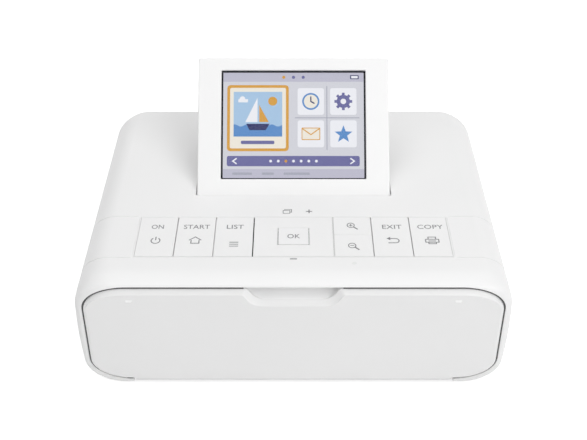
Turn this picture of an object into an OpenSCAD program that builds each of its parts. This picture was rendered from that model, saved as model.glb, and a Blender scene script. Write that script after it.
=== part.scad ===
// Compact photo printer with a tilting screen, a hinged front cover and a row of keys.
// Sizes are millimetres. The origin is the middle of the footprint, on the desk.
// +X is the right side, +Y the rear and +Z up. The screen stands raised and the covers are shut.

/* [Case] */
// Width of the case
case_w = 180.6; // [176:0.1:186]
// Depth over the front cover and the rear face
case_d = 136; // [134:0.5:140]
// Height of the top at the rear face
case_h = 63.3; // [62:0.1:66]
// Fall of the top towards the front, in degrees
top_slope = 2.8; // [2.4:0.1:3.2]
// Wall of the case shells
wall = 2.2; // [1.8:0.1:2.4]
// Radius of the long top edges
top_edge_r = 12; // [9:0.5:14]
// Radius of the long bottom edges
base_edge_r = 10; // [7:0.5:12]
// Radius of the shoulder above the front cover
shoulder_r = 24; // [22:0.5:28]
// Length of that shoulder
shoulder_len = 10; // [9:0.5:11]
// Corner radius at the front, seen from above
front_corner_r = 6; // [4:0.5:8]
// Corner radius at the rear, seen from above
rear_corner_r = 10; // [8:0.5:12]
// Height of the underside above the desk
ground_gap = 1.5; // [1:0.1:2]
// Height of the seam between the two shells
seam_z = 11; // [10.5:0.1:11.5]

/* [Front cover] */
// Half of the cover opening's width
opening_half_w = 87.4; // [86.5:0.1:87.8]
// Top of the cover opening
opening_top = 54; // [53.4:0.1:54.1]
// Bottom of the cover opening
opening_bottom = 3.6; // [3.4:0.1:3.8]
// Reach of the opening's corners along the width
opening_corner_x = 16; // [13:0.5:18]
// Height of the opening's upper corners
opening_corner_top = 10.5; // [9:0.5:12]
// Height of the opening's lower corners
opening_corner_low = 9; // [8:0.5:10]
// Gap between the cover and its opening
cover_gap = 0.45; // [0.35:0.05:0.6]
// Thickness of the cover's plate
cover_t = 3; // [2.8:0.1:3.2]
// How far the cover stands proud of the case
cover_proud = 1.1; // [1:0.1:1.2]
// Width of the step round the cover's raised face
cover_step = 1.2; // [1:0.1:1.6]
// Thickness of the cover's raised face
cover_face_t = 1.6; // [1.4:0.1:1.7]
// Half of the finger notch's width at the top
notch_half_top = 19.9; // [16:0.1:22]
// Half of the finger notch's width at its floor
notch_half_floor = 14.4; // [12:0.1:16]
// Depth of the finger notch
notch_depth = 5.3; // [4:0.1:6]
// Height of the cover's hinge axis
cover_axis_z = 7; // [6.8:0.1:7.2]
// Depth of the cover opening behind the cover's face
hinge_room = 7.5; // [7.4:0.1:7.6]
// Half of the width over which the cover reaches below its opening
cover_foot_half_w = 68.9; // [66:0.1:69]
// Lower edge of that reach
cover_foot_z = 2.2; // [2:0.1:2.6]
// Width of a hinge ear
ear_w = 2.4; // [2:0.1:3]
// Radius of a cover hinge pin
cover_pin_r = 0.9; // [0.8:0.05:1]

/* [Screen panel] */
// Width of the panel
panel_w = 87.9; // [86:0.1:89]
// Length of the panel from its hinge axis to its free edge
panel_len = 64.3; // [62.5:0.1:65]
// Thickness of the panel
panel_t = 9; // [8:0.1:9.2]
// Radius of the panel's rounded hinge edge
panel_edge_r = 3; // [2.8:0.1:3.2]
// Thickness of the panel's front frame
bezel_t = 2.5; // [2.3:0.1:2.6]
// Wall of the panel's rear tray
tray_wall = 1.6; // [1.2:0.1:2]
// Distance from the rear face to the panel's hinge axis
panel_axis_in = 71.4; // [71:0.1:71.8]
// Angle of the raised panel above the top
panel_open = 46; // [40:1:50]
// Width of the clear window
window_w = 66.5; // [64:0.1:68]
// Height of the clear window
window_h = 50.8; // [49:0.1:51.6]
// Distance from the hinge axis to the middle of the window
window_mid = 32.9; // [32:0.1:33.6]
// Ledge that the window glass lies on
window_ledge = 1.5; // [1:0.1:2]
// Thickness of the window glass
window_t = 0.8; // [0.7:0.1:0.9]
// Depth of the frame's lip above the glass
window_lip = 0.7; // [0.6:0.1:0.8]
// Gap round the closed panel in its well
panel_gap = 0.45; // [0.4:0.05:0.6]
// Depth of the well
well_depth = 10.2; // [10:0.1:10.4]
// Wall of the well
well_wall = 1.8; // [1.5:0.1:2]
// Radius of a screen hinge pin
screen_pin_r = 1.3; // [1.1:0.1:1.4]

/* [Keys] */
// Distance between neighbouring keys
key_pitch = 16.6; // [16.2:0.1:17]
// Length of a key, front to rear
key_len = 27.1; // [26:0.1:28]
// Distance from the cover's face to the middle of the key row
key_row_in = 31.35; // [30.8:0.05:32]
// Gap between keys
key_gap = 0.5; // [0.4:0.05:0.7]
// Thickness of a key's cap
key_t = 2; // [1.8:0.1:2.1]
// Travel of a key
key_travel = 0.6; // [0.4:0.05:0.65]
// Width of the OK key
ok_w = 13; // [12:0.1:14]
// Length of the OK key
ok_len = 11.1; // [10:0.1:12]
// Radius of a key's stem
stem_r = 2.5; // [2:0.1:2.8]
// Depth of the key board's upper face below the top
key_board_depth = 6.6; // [6.5:0.1:6.8]
// Width of a push switch
switch_w = 6; // [5:0.1:6.2]
// Height of a push switch without its plunger
switch_h = 2.4; // [2.2:0.1:2.5]
// Height of a switch plunger
plunger_h = 0.5; // [0.4:0.1:0.6]
// Half of the navigation pad's width
nav_half_w = 17.2; // [16.8:0.1:17.6]
// Thickness of the circuit boards
board_t = 1.6; // [1.2:0.1:1.8]

/* [Chassis] */
// Distance between the outer faces of the two side plates
plates_w = 123; // [122.5:0.1:123.5]
// Thickness of a side plate
plate_t = 1.5; // [1.2:0.1:1.6]
// Distance from the cover's face to the side plates
plates_front_in = 10; // [9.6:0.1:10.5]
// Distance from the rear face to the side plates
plates_rear_in = 4; // [3.5:0.1:5]
// Height of the side plates' rear part
plates_top = 49; // [48.8:0.1:49.4]
// Thickness of the chassis floor
floor_t = 1.5; // [1.2:0.1:1.6]
// Underside of the main board
main_board_z = 41; // [40.8:0.1:41.2]
// Half of the paper compartment's width
bay_half_w = 57; // [54:0.5:57.5]
// Lower edge of the paper compartment
bay_bottom = 9; // [8.5:0.1:9.5]
// Upper edge of the paper compartment
bay_top = 39.5; // [38:0.1:40]
// Running clearance of a shaft in its bore
run_fit = 0.05; // [0.03:0.01:0.08]

/* [Paper path] */
// Height of the paper path
paper_z = 20; // [19.8:0.1:20.2]
// Distance from the rear face to the middle of the platen
platen_in = 42; // [41.5:0.1:42.5]
// Radius of the platen
platen_r = 6; // [5.6:0.1:6.2]
// Radius of a drive shaft
shaft_r = 2; // [1.6:0.1:2.2]
// Length of the rollers
roller_len = 104; // [100:1:106]
// Distance from the rear face to the middle of the steel feed roller
capstan_in = 10.5; // [10.2:0.1:11]
// Radius of the steel feed roller
capstan_r = 3.5; // [3.2:0.1:3.6]
// Radius of the pinch roller
pinch_r = 3; // [2.6:0.1:3.1]
// Thickness of the paper gap between the two rollers
paper_gap = 0.3; // [0.2:0.05:0.4]
// Width of the paper slot in the rear
slot_w = 106; // [104:0.5:108]
// Height of the paper slot in the rear
slot_h = 6; // [5:0.1:6.4]

/* [Ink cassette] */
// Height of the two spools
spool_z = 32.3; // [32.1:0.1:32.5]
// Distance from the rear face to the take-up spool
takeup_in = 58.5; // [58.2:0.1:58.8]
// Distance from the rear face to the supply spool
supply_in = 25.5; // [25.2:0.1:25.8]
// Outer radius of a spool housing
housing_r = 10; // [9.6:0.1:10.1]
// Wall of a spool housing
housing_wall = 1.2; // [1:0.1:1.3]
// Radius of a wound spool
spool_r = 8.2; // [7.8:0.1:8.3]
// Radius of a spool's hub
hub_r = 3; // [2.6:0.1:3.2]
// Left end of the cassette
cassette_left = -58; // [-58.2:0.1:-57.8]
// Right end of the cassette
cassette_right = 80; // [79:0.1:81]

/* [Gears] */
// Gear module
gear_m = 0.6; // [0.58:0.01:0.61]
// Thickness of a gear
gear_t = 3; // [2.4:0.1:3.2]
// Teeth of the motor pinions
pinion_teeth = 14; // [14:1:15]
// Teeth of the platen, idler and take-up gears
wheel_teeth = 30; // [29:1:30]
// Teeth of the feed roller and pick-up gears
feed_teeth = 24; // [22:1:24]
// Teeth of the pick-up idler
long_teeth = 40; // [40:1:41]

/* [Ink door] */
// Distance from the rear face to the front edge of the ink door's opening
door_front_in = 72.4; // [72.2:0.1:72.6]
// Lower edge of the ink door's opening
door_low = 13; // [12.8:0.1:13.4]
// Upper edge of the ink door's opening
door_high = 46.4; // [46:0.1:46.6]
// Radius of the door's hinge barrel
barrel_r = 2.1; // [1.9:0.1:2.2]
// Distance from the rear face to the door's hinge axis
door_axis_in = 13.8; // [13.6:0.1:14]
// Gap round the ink door
door_gap = 0.4; // [0.3:0.05:0.5]

/* [Feet and screws] */
// Radius of a rubber foot
foot_r = 6; // [4:0.5:7]
// Distance of the feet from the middle, sideways
foot_x = 70; // [60:1:72]
// Distance of the feet from the front and rear faces
foot_in = 16; // [14:1:22]
// Radius of a case screw
screw_r = 1.4; // [1.2:0.1:1.5]
// Distance of the case screws from the middle, sideways
screw_x = 54; // [50:1:55]
// Distance of the case screws from the front and rear faces
screw_in = 18; // [16:1:22]

/* [Hidden] */
$fn = 64;

// Longer than any part, for cutting right through
far = 200;
// Small overlap that keeps joined solids one solid
weld = 0.01;
half_w = case_w / 2;
rear_y = case_d / 2;
cover_face_y = -case_d / 2;
front_y = cover_face_y + cover_proud;
// Height of the top plane over the origin
top_z0 = case_h - rear_y * tan(top_slope);
floor_top = ground_gap + wall;
shoulder_y = front_y + shoulder_len;

// Places along the depth
panel_axis_y = rear_y - panel_axis_in;
key_row_y = cover_face_y + key_row_in;
plates_front = cover_face_y + plates_front_in;
plates_rear = rear_y - plates_rear_in;
platen_y = rear_y - platen_in;
capstan_y = rear_y - capstan_in;
takeup_y = rear_y - takeup_in;
supply_y = rear_y - supply_in;
door_front = rear_y - door_front_in;
door_axis_y = rear_y - door_axis_in;
foot_y = rear_y - foot_in;
screw_y = rear_y - screw_in;

cover_axis_y = cover_face_y + cover_t / 2;
ear_x = cover_foot_half_w + 1;
ear_r = 1.9;
ear_gap = 0.4;
hinge_clear_y = cover_face_y + hinge_room;
scoop_half_w = notch_half_top + 1.6;
scoop_depth = 5.5;
scoop_wall = 1.2;
scoop_top_gap = 0.8;

window_u0 = window_mid - window_h / 2;
well_front = panel_axis_y - panel_edge_r - panel_gap;
well_rear = panel_axis_y + panel_len + panel_gap + 0.25;
well_half_w = panel_w / 2 + panel_gap;
tray_front = panel_edge_r + 0.2;
tray_base = panel_edge_r - panel_t;
bezel_base = panel_edge_r - bezel_t;
pin_boss = 4;
screen_pin_in = 6;

key_row_half_w = 4 * key_pitch + 0.8;
key_front = key_row_y - key_len / 2;
key_rear = key_row_y + key_len / 2;
key_hole_gap = 0.3;
zoom_split = key_row_y + 0.95;
plunger_top = -key_board_depth + switch_h + plunger_h;
stem_end = plunger_top + key_travel + 0.1;
nav_tilt = 1.5;
// Distance of the four pad switches from the pad's middle
nav_switch_x = 13;
nav_switch_y = 10.4;
ring_r = 6.2;
ring_inner_r = 4.2;
ring_z = -4.6;
ring_t = 1.2;
trunnion_r = 0.4;
key_board_front = key_front - 4.4;
key_board_rear = key_rear + 4.4;
key_board_half_w = key_row_half_w + 2;
post_r = 2;
post_x = 60;

plate_out = plates_w / 2;
plate_in = plate_out - plate_t;
plate_foot_z = floor_top + floor_t;
low_plate_top = main_board_z;
step_y = rear_y - 77;
front_frame_t = 2;
floor_window_half_w = 44;

platen_at = [platen_y, paper_z - platen_r];
capstan_at = [capstan_y, paper_z - capstan_r];
pinch_at = [capstan_y, paper_z + paper_gap + pinch_r];
takeup_at = [takeup_y, spool_z];
supply_at = [supply_y, spool_z];
pickup_at = [rear_y - 98, 36.8];
pickup_roller_at = [rear_y - 84, 28.5];
pickup_r = 6.5;
cam_at = [rear_y - 73, 40.2];
cam_r = 3.2;
cam_throw = 1.2;
cam_shaft_r = 1.5;
head_axis = [rear_y - 10, 45.75];
head_pin_r = 1.5;
arm_z = 45;
arm_t = 1.5;
arm_front = step_y;
head_half_len = roller_len / 2 - 1;
head_rest_z = 23.1;
head_w = 8;
head_t = 1.9;

gear_x = -plate_out - 1.5 - gear_t;
function pitch_r(n) = gear_m * n / 2;
tooth_h = 0.9 * gear_m;
root_h = 1.15 * gear_m;
tooth_play = 0.06;
bracket_x = -73;
bracket_t = 1.2;
bracket_gap = -plate_out - bracket_x - bracket_t;
bracket_posts = [[rear_y - 44, 42], [rear_y - 60, 9.5], [rear_y - 17, 38]];
bracket_front = rear_y - 71;
bracket_rear = rear_y - 14;
bracket_low = 6;
bracket_top = 46;
stud_end = gear_x - 0.6;

// Point that lies ra from a and rb from b, on the left of the way from a to b
function meet(a, ra, b, rb) =
  let (d = norm(b - a), u = (b - a) / d, k = (ra * ra - rb * rb + d * d) / (2 * d))
  a + k * u + sqrt(ra * ra - k * k) * [-u[1], u[0]];
function turn_of(a, b) = atan2(b[1] - a[1], b[0] - a[0]);
// Turn of a gear that meshes with another one, from the angle of the line between them
function mesh_turn(line, n1, turn1, n2) =
  line + 180 + 180 / n2 + (line - turn1) * n1 / n2;

idler_at = meet(platen_at, pitch_r(2 * wheel_teeth), capstan_at, pitch_r(wheel_teeth + feed_teeth));
feed_motor_line = 100;
feed_motor_at = idler_at
  + pitch_r(wheel_teeth + pinion_teeth) * [cos(feed_motor_line), sin(feed_motor_line)];
ribbon_motor_line = -100;
ribbon_motor_at = takeup_at
  + pitch_r(wheel_teeth + pinion_teeth) * [cos(ribbon_motor_line), sin(ribbon_motor_line)];
pickup_idler_at = meet(pickup_at, pitch_r(feed_teeth + long_teeth),
                       takeup_at, pitch_r(long_teeth + wheel_teeth));
idler_turn = mesh_turn(turn_of(platen_at, idler_at), wheel_teeth, 0, wheel_teeth);
capstan_turn = mesh_turn(turn_of(idler_at, capstan_at), wheel_teeth, idler_turn, feed_teeth);
feed_pinion_turn = mesh_turn(feed_motor_line, wheel_teeth, idler_turn, pinion_teeth);
ribbon_pinion_turn = mesh_turn(ribbon_motor_line, wheel_teeth, 0, pinion_teeth);
pickup_idler_turn = mesh_turn(turn_of(takeup_at, pickup_idler_at), wheel_teeth, 0, long_teeth);
pickup_turn = mesh_turn(turn_of(pickup_idler_at, pickup_at), long_teeth, pickup_idler_turn, feed_teeth);
motor_boss_r = 4;
motor_shaft_r = 1;
motor_len = 13.4;
feed_motor_r = 10;
ribbon_motor_r = 8.5;

door_rear = door_axis_y + barrel_r + 0.3;
door_axis_x = half_w - barrel_r;
door_pin_r = 1;
door_pin_len = 3.2;
door_pin_out = 1.4;
lug_t = 1.4;

// Shapes that repeat

module on_top() translate([0, 0, top_z0]) rotate([top_slope, 0, 0]) children();

module in_panel()
  on_top() translate([0, panel_axis_y, -panel_edge_r]) rotate([panel_open, 0, 0]) children();

module block(x0, x1, y0, y1, z0, z1) translate([x0, y0, z0]) cube([x1 - x0, y1 - y0, z1 - z0]);

// Round bar along X from x0 to x1, at = [y, z]
module rod(x0, x1, at, r) translate([x0, at[0], at[1]]) rotate([0, 90, 0]) cylinder(h = x1 - x0, r = r);

module mirrored() {
  children();
  mirror([1, 0, 0]) children();
}

// Outline drawn in Y and Z, carried along X from x0 to x1
module slab_x(x0, x1) translate([x0, 0, 0]) rotate([90, 0, 90]) linear_extrude(x1 - x0) children();

// Outline drawn in X and Z, carried along Y from y0 to y1
module slab_y(y0, y1) translate([0, y1, 0]) rotate([90, 0, 0]) linear_extrude(y1 - y0) children();

// Rectangle with the radius r0 at its lower corners and r1 at its upper ones
module round_rect(x0, x1, y0, y1, r0, r1) {
  translate([x0, y0 + r0]) square([x1 - x0, y1 - y0 - r0 - r1]);
  if (r0 > 0) {
    translate([x0 + r0, y0]) square([x1 - x0 - 2 * r0, r0 + weld]);
    for (x = [x0 + r0, x1 - r0]) translate([x, y0 + r0]) circle(r0);
  }
  if (r1 > 0) {
    translate([x0 + r1, y1 - r1 - weld]) square([x1 - x0 - 2 * r1, r1 + weld]);
    for (x = [x0 + r1, x1 - r1]) translate([x, y1 - r1]) circle(r1);
  }
}

// Side view of the case seen square to its top: flat top, rounded shoulder, rounded rear edge
module side_view(inset) {
  rear_edge_r = 3;
  translate([shoulder_y, -far]) square([far, far - inset - rear_edge_r]);
  translate([shoulder_y, -far]) square([rear_y - rear_edge_r - shoulder_y, far - inset]);
  translate([rear_y - rear_edge_r, -rear_edge_r]) circle(rear_edge_r - inset);
  translate([shoulder_y, -shoulder_r]) circle(shoulder_r - inset);
  translate([front_y - shoulder_r, -far]) square([far, far - shoulder_r]);
}

// The case as one body, drawn in by inset on every side
module case_form(inset) {
  intersection() {
    slab_y(-far, far) round_rect(-half_w + inset, half_w - inset, ground_gap + inset, far,
                                 base_edge_r - inset, 0);
    on_top() slab_y(-far, far) round_rect(-half_w + inset, half_w - inset, -far, -inset,
                                          0, top_edge_r - inset);
    on_top() slab_x(-far, far) side_view(inset);
    translate([0, 0, -far]) linear_extrude(2 * far)
      round_rect(-half_w + inset, half_w - inset, front_y + inset, rear_y - inset,
                 front_corner_r - inset, rear_corner_r - inset);
  }
}

module case_skin() difference() {
  case_form(0);
  case_form(wall);
}

// Corner of the cover's outline: a quarter of an ellipse, from angle a0 to a0 + 90
function quarter(cx, cz, rx, rz, a0) =
  [for (i = [0:8]) [cx + rx * cos(a0 + i * 11.25), cz + rz * sin(a0 + i * 11.25)]];

// Outline of the cover opening, drawn in by inset
module cover_outline(inset) {
  w = opening_half_w;
  cx = opening_corner_x;
  polygon(concat(
    quarter(w - cx, opening_top - opening_corner_top, cx - inset, opening_corner_top - inset, 0),
    quarter(cx - w, opening_top - opening_corner_top, cx - inset, opening_corner_top - inset, 90),
    quarter(cx - w, opening_bottom + opening_corner_low, cx - inset, opening_corner_low - inset, 180),
    quarter(w - cx, opening_bottom + opening_corner_low, cx - inset, opening_corner_low - inset, 270)));
}

// Hole in the front of the case for the cover, and the room its lower edge swings through
module cover_opening() {
  slab_y(-far, hinge_clear_y) cover_outline(0);
  block(-cover_foot_half_w - cover_gap, cover_foot_half_w + cover_gap,
        -far, hinge_clear_y, -1, seam_z + 2);
}

// Toothed outline with involute flanks between the root and tip circles
function roll(r, base) = sqrt(r * r / (base * base) - 1) * 180 / PI - acos(base / r);
module gear_outline(n, turn) {
  r = pitch_r(n);
  base = r * cos(20);
  radii = [r - root_h, max(base, r - root_h) + weld, r, r + tooth_h];
  half = 90 / n - tooth_play / r * 180 / PI;
  spread = [for (q = radii) half + roll(r, base) - (q > base ? roll(q, base) : 0)];
  polygon([for (k = [0:n - 1], i = [0:7])
    let (j = i < 4 ? i : 7 - i, s = i < 4 ? -1 : 1, a = turn + k * 360 / n + s * spread[j])
    radii[j] * [cos(a), sin(a)]]);
}

// Gear with its left face at gear_x, at = [y, z]
module gear(at, n, turn) slab_x(gear_x, gear_x + gear_t) translate(at) gear_outline(n, turn);

// Case

module well_cavity()
  block(-well_half_w, well_half_w, well_front, well_rear, -well_depth, 1);

module pin_bosses() mirrored()
  block(well_half_w, well_half_w + well_wall + pin_boss,
        panel_axis_y - panel_edge_r, panel_axis_y + panel_edge_r, -2 * panel_edge_r, -wall / 2);

module well_tub() {
  block(-well_half_w - well_wall, well_half_w + well_wall, well_front - well_wall,
        well_rear + well_wall, -well_depth - well_wall, -wall / 2);
  pin_bosses();
}

module key_board_posts()
  for (x = [-post_x, 0, post_x], y = [key_board_front + post_r, key_board_rear - post_r])
    translate([x, y, -key_board_depth]) cylinder(h = key_board_depth - wall / 2, r = post_r);

module door_lugs() for (z = [door_low - lug_t, door_high])
  block(door_axis_x - barrel_r - 1.2, half_w - wall / 2, door_axis_y - 2.4, door_axis_y + 4,
        z, z + lug_t);

// Bores for the door's pins, in the lugs and the wall beside them
module door_bores()
  for (z = [door_low - lug_t - 0.1, door_high]) translate([door_axis_x, door_axis_y, z])
    cylinder(h = lug_t + 0.1, r = door_pin_r + run_fit);

module door_window(gap) block(half_w - wall - 1.5, half_w + 5, door_front + gap,
                              door_rear - gap, door_low + gap, door_high - gap);

rear_window_top = case_h - 11.3;

module rear_window(gap)
  block(-half_w + rear_corner_r + 2 + gap, half_w - rear_corner_r - 2 - gap,
        rear_y - wall - 1, rear_y + 5, seam_z - 1, rear_window_top - gap);

// The sockets' mouths hang under the main board, one behind the other
card_at = [plates_front + 1.5, plates_front + 26.5];
card_z = [main_board_z - 2.7, main_board_z - 0.4];
usb_at = [plates_front + 29.8, plates_front + 42.2];
usb_z = [main_board_z - 6.2, main_board_z - 0.6];
mini_at = [plates_front + 45.4, plates_front + 52.2];
mini_z = [main_board_z - 4, main_board_z - 1];

module side_sockets() {
  block(half_w - wall - 1, far, card_at[0], card_at[1], card_z[0], card_z[1]);
  block(half_w - wall - 1, far, usb_at[0], usb_at[1], usb_z[0], usb_z[1]);
  block(half_w - wall - 1, far, mini_at[0], mini_at[1], mini_z[0], mini_z[1]);
}

lamp_at = [nav_half_w + key_pitch / 2 - 0.2, key_front - 4.1];
lamp_r = 0.9;

module top_cover() color([0.94, 0.94, 0.93]) difference() {
  union() {
    difference() {
      case_skin();
      block(-far, far, -far, far, -1, seam_z);
    }
    on_top() well_tub();
    on_top() key_board_posts();
    door_lugs();
  }
  on_top() well_cavity();
  on_top() rod(-well_half_w - well_wall - pin_boss - 1, well_half_w + well_wall + pin_boss + 1,
               [panel_axis_y, -panel_edge_r], screen_pin_r + run_fit);
  on_top() block(-key_row_half_w - key_hole_gap, key_row_half_w + key_hole_gap,
                 key_front - key_hole_gap, key_rear + key_hole_gap, -wall - 1, 1);
  on_top() translate([lamp_at[0], lamp_at[1], -wall - 2]) cylinder(h = wall + 3, r = lamp_r);
  cover_opening();
  door_window(0);
  door_bores();
  rear_window(0);
  side_sockets();
}

module base_cover() color([0.9, 0.9, 0.89]) {
  difference() {
    intersection() {
      case_skin();
      block(-far, far, -far, far, -1, seam_z);
    }
    cover_opening();
    for (x = [-foot_x, foot_x], y = [-foot_y, foot_y])
      translate([x, y, 0]) cylinder(h = ground_gap + 0.8, r = foot_r);
    for (x = [-screw_x, screw_x], y = [-screw_y, screw_y]) translate([x, y, 0]) {
      cylinder(h = far, r = screw_r + run_fit);
      cylinder(h = ground_gap + 1.5, r = 2 * screw_r + 0.2);
    }
  }
  mirrored() difference() {
    union() {
      block(ear_x, ear_x + ear_w, front_y + 0.2, cover_axis_y + 2 * ear_r,
            ground_gap + 0.3, opening_bottom + 0.2);
      block(ear_x, ear_x + ear_w, cover_axis_y - 1.3, cover_axis_y + ear_r,
            ground_gap + 0.3, cover_axis_z);
      rod(ear_x, ear_x + ear_w, [cover_axis_y + 0.2, cover_axis_z], 1.5);
    }
    rod(ear_x - 1, ear_x + ear_w + 1, [cover_axis_y, cover_axis_z], cover_pin_r + run_fit);
  }
}

module rubber_feet() color([0.25, 0.25, 0.26])
  for (x = [-foot_x, foot_x], y = [-foot_y, foot_y])
    translate([x, y, 0]) cylinder(h = ground_gap + 0.8, r = foot_r - 0.05);

module case_screws() color([0.7, 0.7, 0.72])
  for (x = [-screw_x, screw_x], y = [-screw_y, screw_y]) translate([x, y, ground_gap + 0.3]) {
    cylinder(h = 1.2, r = 2 * screw_r);
    cylinder(h = bay_bottom - 0.7 - ground_gap - 0.3, r = screw_r);
  }

vent_x0 = 18;
vent_pitch = 4;
vent_w = 1.8;
vent_len = 12;
vent_z = rear_window_top - 6 - vent_len;

module rear_panel() color([0.92, 0.92, 0.91]) difference() {
  intersection() {
    case_skin();
    rear_window(0.15);
    block(-far, far, -far, far, seam_z, far);
  }
  block(-slot_w / 2, slot_w / 2, 0, far, paper_z - slot_h / 2 + 0.5, paper_z + slot_h / 2 + 0.5);
  for (k = [0:11], s = [-1, 1])
    translate([s * (vent_x0 + k * vent_pitch) - vent_w / 2, 0, vent_z]) cube([vent_w, far, vent_len]);
  translate([dc_x, 0, dc_z]) rotate([-90, 0, 0]) cylinder(h = far, r = dc_r + 0.1);
  block(battery_x[0], battery_x[1], 0, far, battery_z[0], battery_z[1]);
}

// Front cover

module front_cover() color([0.9, 0.9, 0.9]) {
  back_y = cover_face_y + cover_t;
  step_face_y = cover_face_y + cover_face_t;
  difference() {
    union() {
      slab_y(step_face_y - weld, back_y) cover_outline(cover_gap);
      difference() {
        slab_y(cover_face_y, step_face_y) cover_outline(cover_gap + cover_step);
        block(-far, far, -far, 0, 0, cover_foot_z);
      }
      block(-cover_foot_half_w, cover_foot_half_w, cover_face_y, back_y, cover_foot_z, 12);
    }
    slab_y(-far, 0) polygon([
      [-notch_half_top, far], [-notch_half_top, opening_top - 1.5],
      [-notch_half_floor, opening_top - notch_depth], [notch_half_floor, opening_top - notch_depth],
      [notch_half_top, opening_top - 1.5], [notch_half_top, far]]);
    mirrored() block(ear_x - ear_gap, ear_x + ear_w + ear_gap, -far, 0,
                     0, cover_axis_z + ear_r + 0.6);
    mirrored() rod(ear_x - 3, ear_x + ear_w + 3, [cover_axis_y, cover_axis_z], cover_pin_r);
  }
  // Finger scoop behind the notch
  difference() {
    block(-scoop_half_w, scoop_half_w, back_y - weld, back_y + scoop_depth,
          opening_top - notch_depth - 6, opening_top - scoop_top_gap);
    rod(-notch_half_top, notch_half_top,
        [back_y - 0.4, opening_top - notch_depth + 3.4], scoop_depth - scoop_wall + 0.4);
    block(-notch_half_top, notch_half_top, -far, back_y + scoop_depth - scoop_wall,
          opening_top - notch_depth + 3.4, far);
  }
}

module front_cover_pins() color([0.75, 0.75, 0.77]) mirrored()
  rod(ear_x - 3, ear_x + ear_w + 3, [cover_axis_y, cover_axis_z], cover_pin_r);

module front_frame() color([0.3, 0.3, 0.31]) {
  y1 = plates_front;
  difference() {
    slab_y(y1 - front_frame_t, y1) difference() {
      round_rect(-half_w + 5.2, half_w - 5.2, floor_top, opening_top - 0.6, 8, 8);
      translate([-bay_half_w, bay_bottom]) square([2 * bay_half_w, bay_top - bay_bottom]);
      translate([-scoop_half_w - 1, opening_top - 12]) square([2 * scoop_half_w + 2, far]);
    }
  }
}

// Ink door

module ink_door() color([0.93, 0.93, 0.92]) {
  difference() {
    union() {
      intersection() {
        case_skin();
        block(half_w - wall - 2, far, door_front + door_gap, door_axis_y,
              door_low + door_gap, door_high - door_gap);
      }
      translate([door_axis_x, door_axis_y, door_low + door_gap])
        cylinder(h = door_high - door_low - 2 * door_gap, r = barrel_r);
    }
    for (z = [door_low + door_gap - 1, door_high - door_gap - door_pin_len])
      translate([door_axis_x, door_axis_y, z]) cylinder(h = door_pin_len + 1, r = door_pin_r);
  }
}

module ink_door_pins() color([0.75, 0.75, 0.77])
  for (z = [door_low - door_pin_out, door_high - door_gap - door_pin_len])
    translate([door_axis_x, door_axis_y, z])
      cylinder(h = door_pin_len + door_gap + door_pin_out, r = door_pin_r);

// Screen panel, drawn from its hinge axis: y runs up the panel and z out of its face

module screen_bezel() color([0.97, 0.97, 0.97]) in_panel() difference() {
  union() {
    rod(-panel_w / 2, panel_w / 2, [0, 0], panel_edge_r);
    block(-panel_w / 2, panel_w / 2, 0, panel_len, bezel_base, panel_edge_r);
  }
  block(-window_w / 2, window_w / 2, window_u0, window_u0 + window_h, -far, far);
  block(-window_w / 2 - window_ledge, window_w / 2 + window_ledge, window_u0 - window_ledge,
        window_u0 + window_h + window_ledge, -far, panel_edge_r - window_lip);
  mirrored() rod(panel_w / 2 - screen_pin_in, panel_w, [0, 0], screen_pin_r);
}

module screen_back() color([0.95, 0.95, 0.95]) in_panel() difference() {
  block(-panel_w / 2, panel_w / 2, tray_front, panel_len, tray_base, bezel_base);
  block(-panel_w / 2 + tray_wall, panel_w / 2 - tray_wall, tray_front + tray_wall,
        panel_len - tray_wall, tray_base + tray_wall, far);
}

module display_window() color([0.1, 0.1, 0.12, 0.6]) in_panel()
  block(-window_w / 2 - window_ledge, window_w / 2 + window_ledge, window_u0 - window_ledge,
        window_u0 + window_h + window_ledge, panel_edge_r - window_lip - window_t,
        panel_edge_r - window_lip);

module display_module() color([0.7, 0.72, 0.85]) in_panel() {
  glass_base = panel_edge_r - window_lip - window_t;
  block(-window_w / 2 - window_ledge, window_w / 2 + window_ledge, window_u0 - window_ledge,
        window_u0 + window_h + window_ledge, bezel_base, glass_base);
  block(-window_w / 2 - window_ledge, window_w / 2 + window_ledge,
        max(window_u0 - window_ledge, tray_front + tray_wall + 0.3),
        window_u0 + window_h + window_ledge, tray_base + tray_wall, bezel_base + weld);
}

module screen_hinge_pins() color([0.75, 0.75, 0.77]) on_top() mirrored()
  rod(panel_w / 2 - screen_pin_in, well_half_w + well_wall + pin_boss,
      [panel_axis_y, -panel_edge_r], screen_pin_r);

// Keys

// Cap and stem of a key between x0 and x1, and y0 and y1
module key(x0, x1, y0, y1) on_top() {
  g = key_gap / 2;
  block(x0 + g, x1 - g, y0 + g, y1 - g, -key_t, 0);
  translate([(x0 + x1) / 2, (y0 + y1) / 2, stem_end]) cylinder(h = -stem_end - key_t / 2, r = stem_r);
}

// Left edge of key place k, counted from the left
function key_x(k) = k < 3 ? (k - 3) * key_pitch - nav_half_w : nav_half_w + (k - 3) * key_pitch;

module whole_key(k) key(key_x(k), key_x(k) + key_pitch, key_front, key_rear);

module power_key() color([0.92, 0.92, 0.92]) whole_key(0);
module home_key() color([0.92, 0.92, 0.92]) whole_key(1);
module menu_key() color([0.92, 0.92, 0.92]) whole_key(2);
module back_key() color([0.92, 0.92, 0.92]) whole_key(4);
module print_key() color([0.92, 0.92, 0.92]) whole_key(5);
module zoom_in_key() color([0.92, 0.92, 0.92])
  key(key_x(3), key_x(3) + key_pitch, zoom_split, key_rear);
module zoom_out_key() color([0.92, 0.92, 0.92])
  key(key_x(3), key_x(3) + key_pitch, key_front, zoom_split);

module at_nav() on_top() translate([0, key_row_y, 0]) children();

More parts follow.
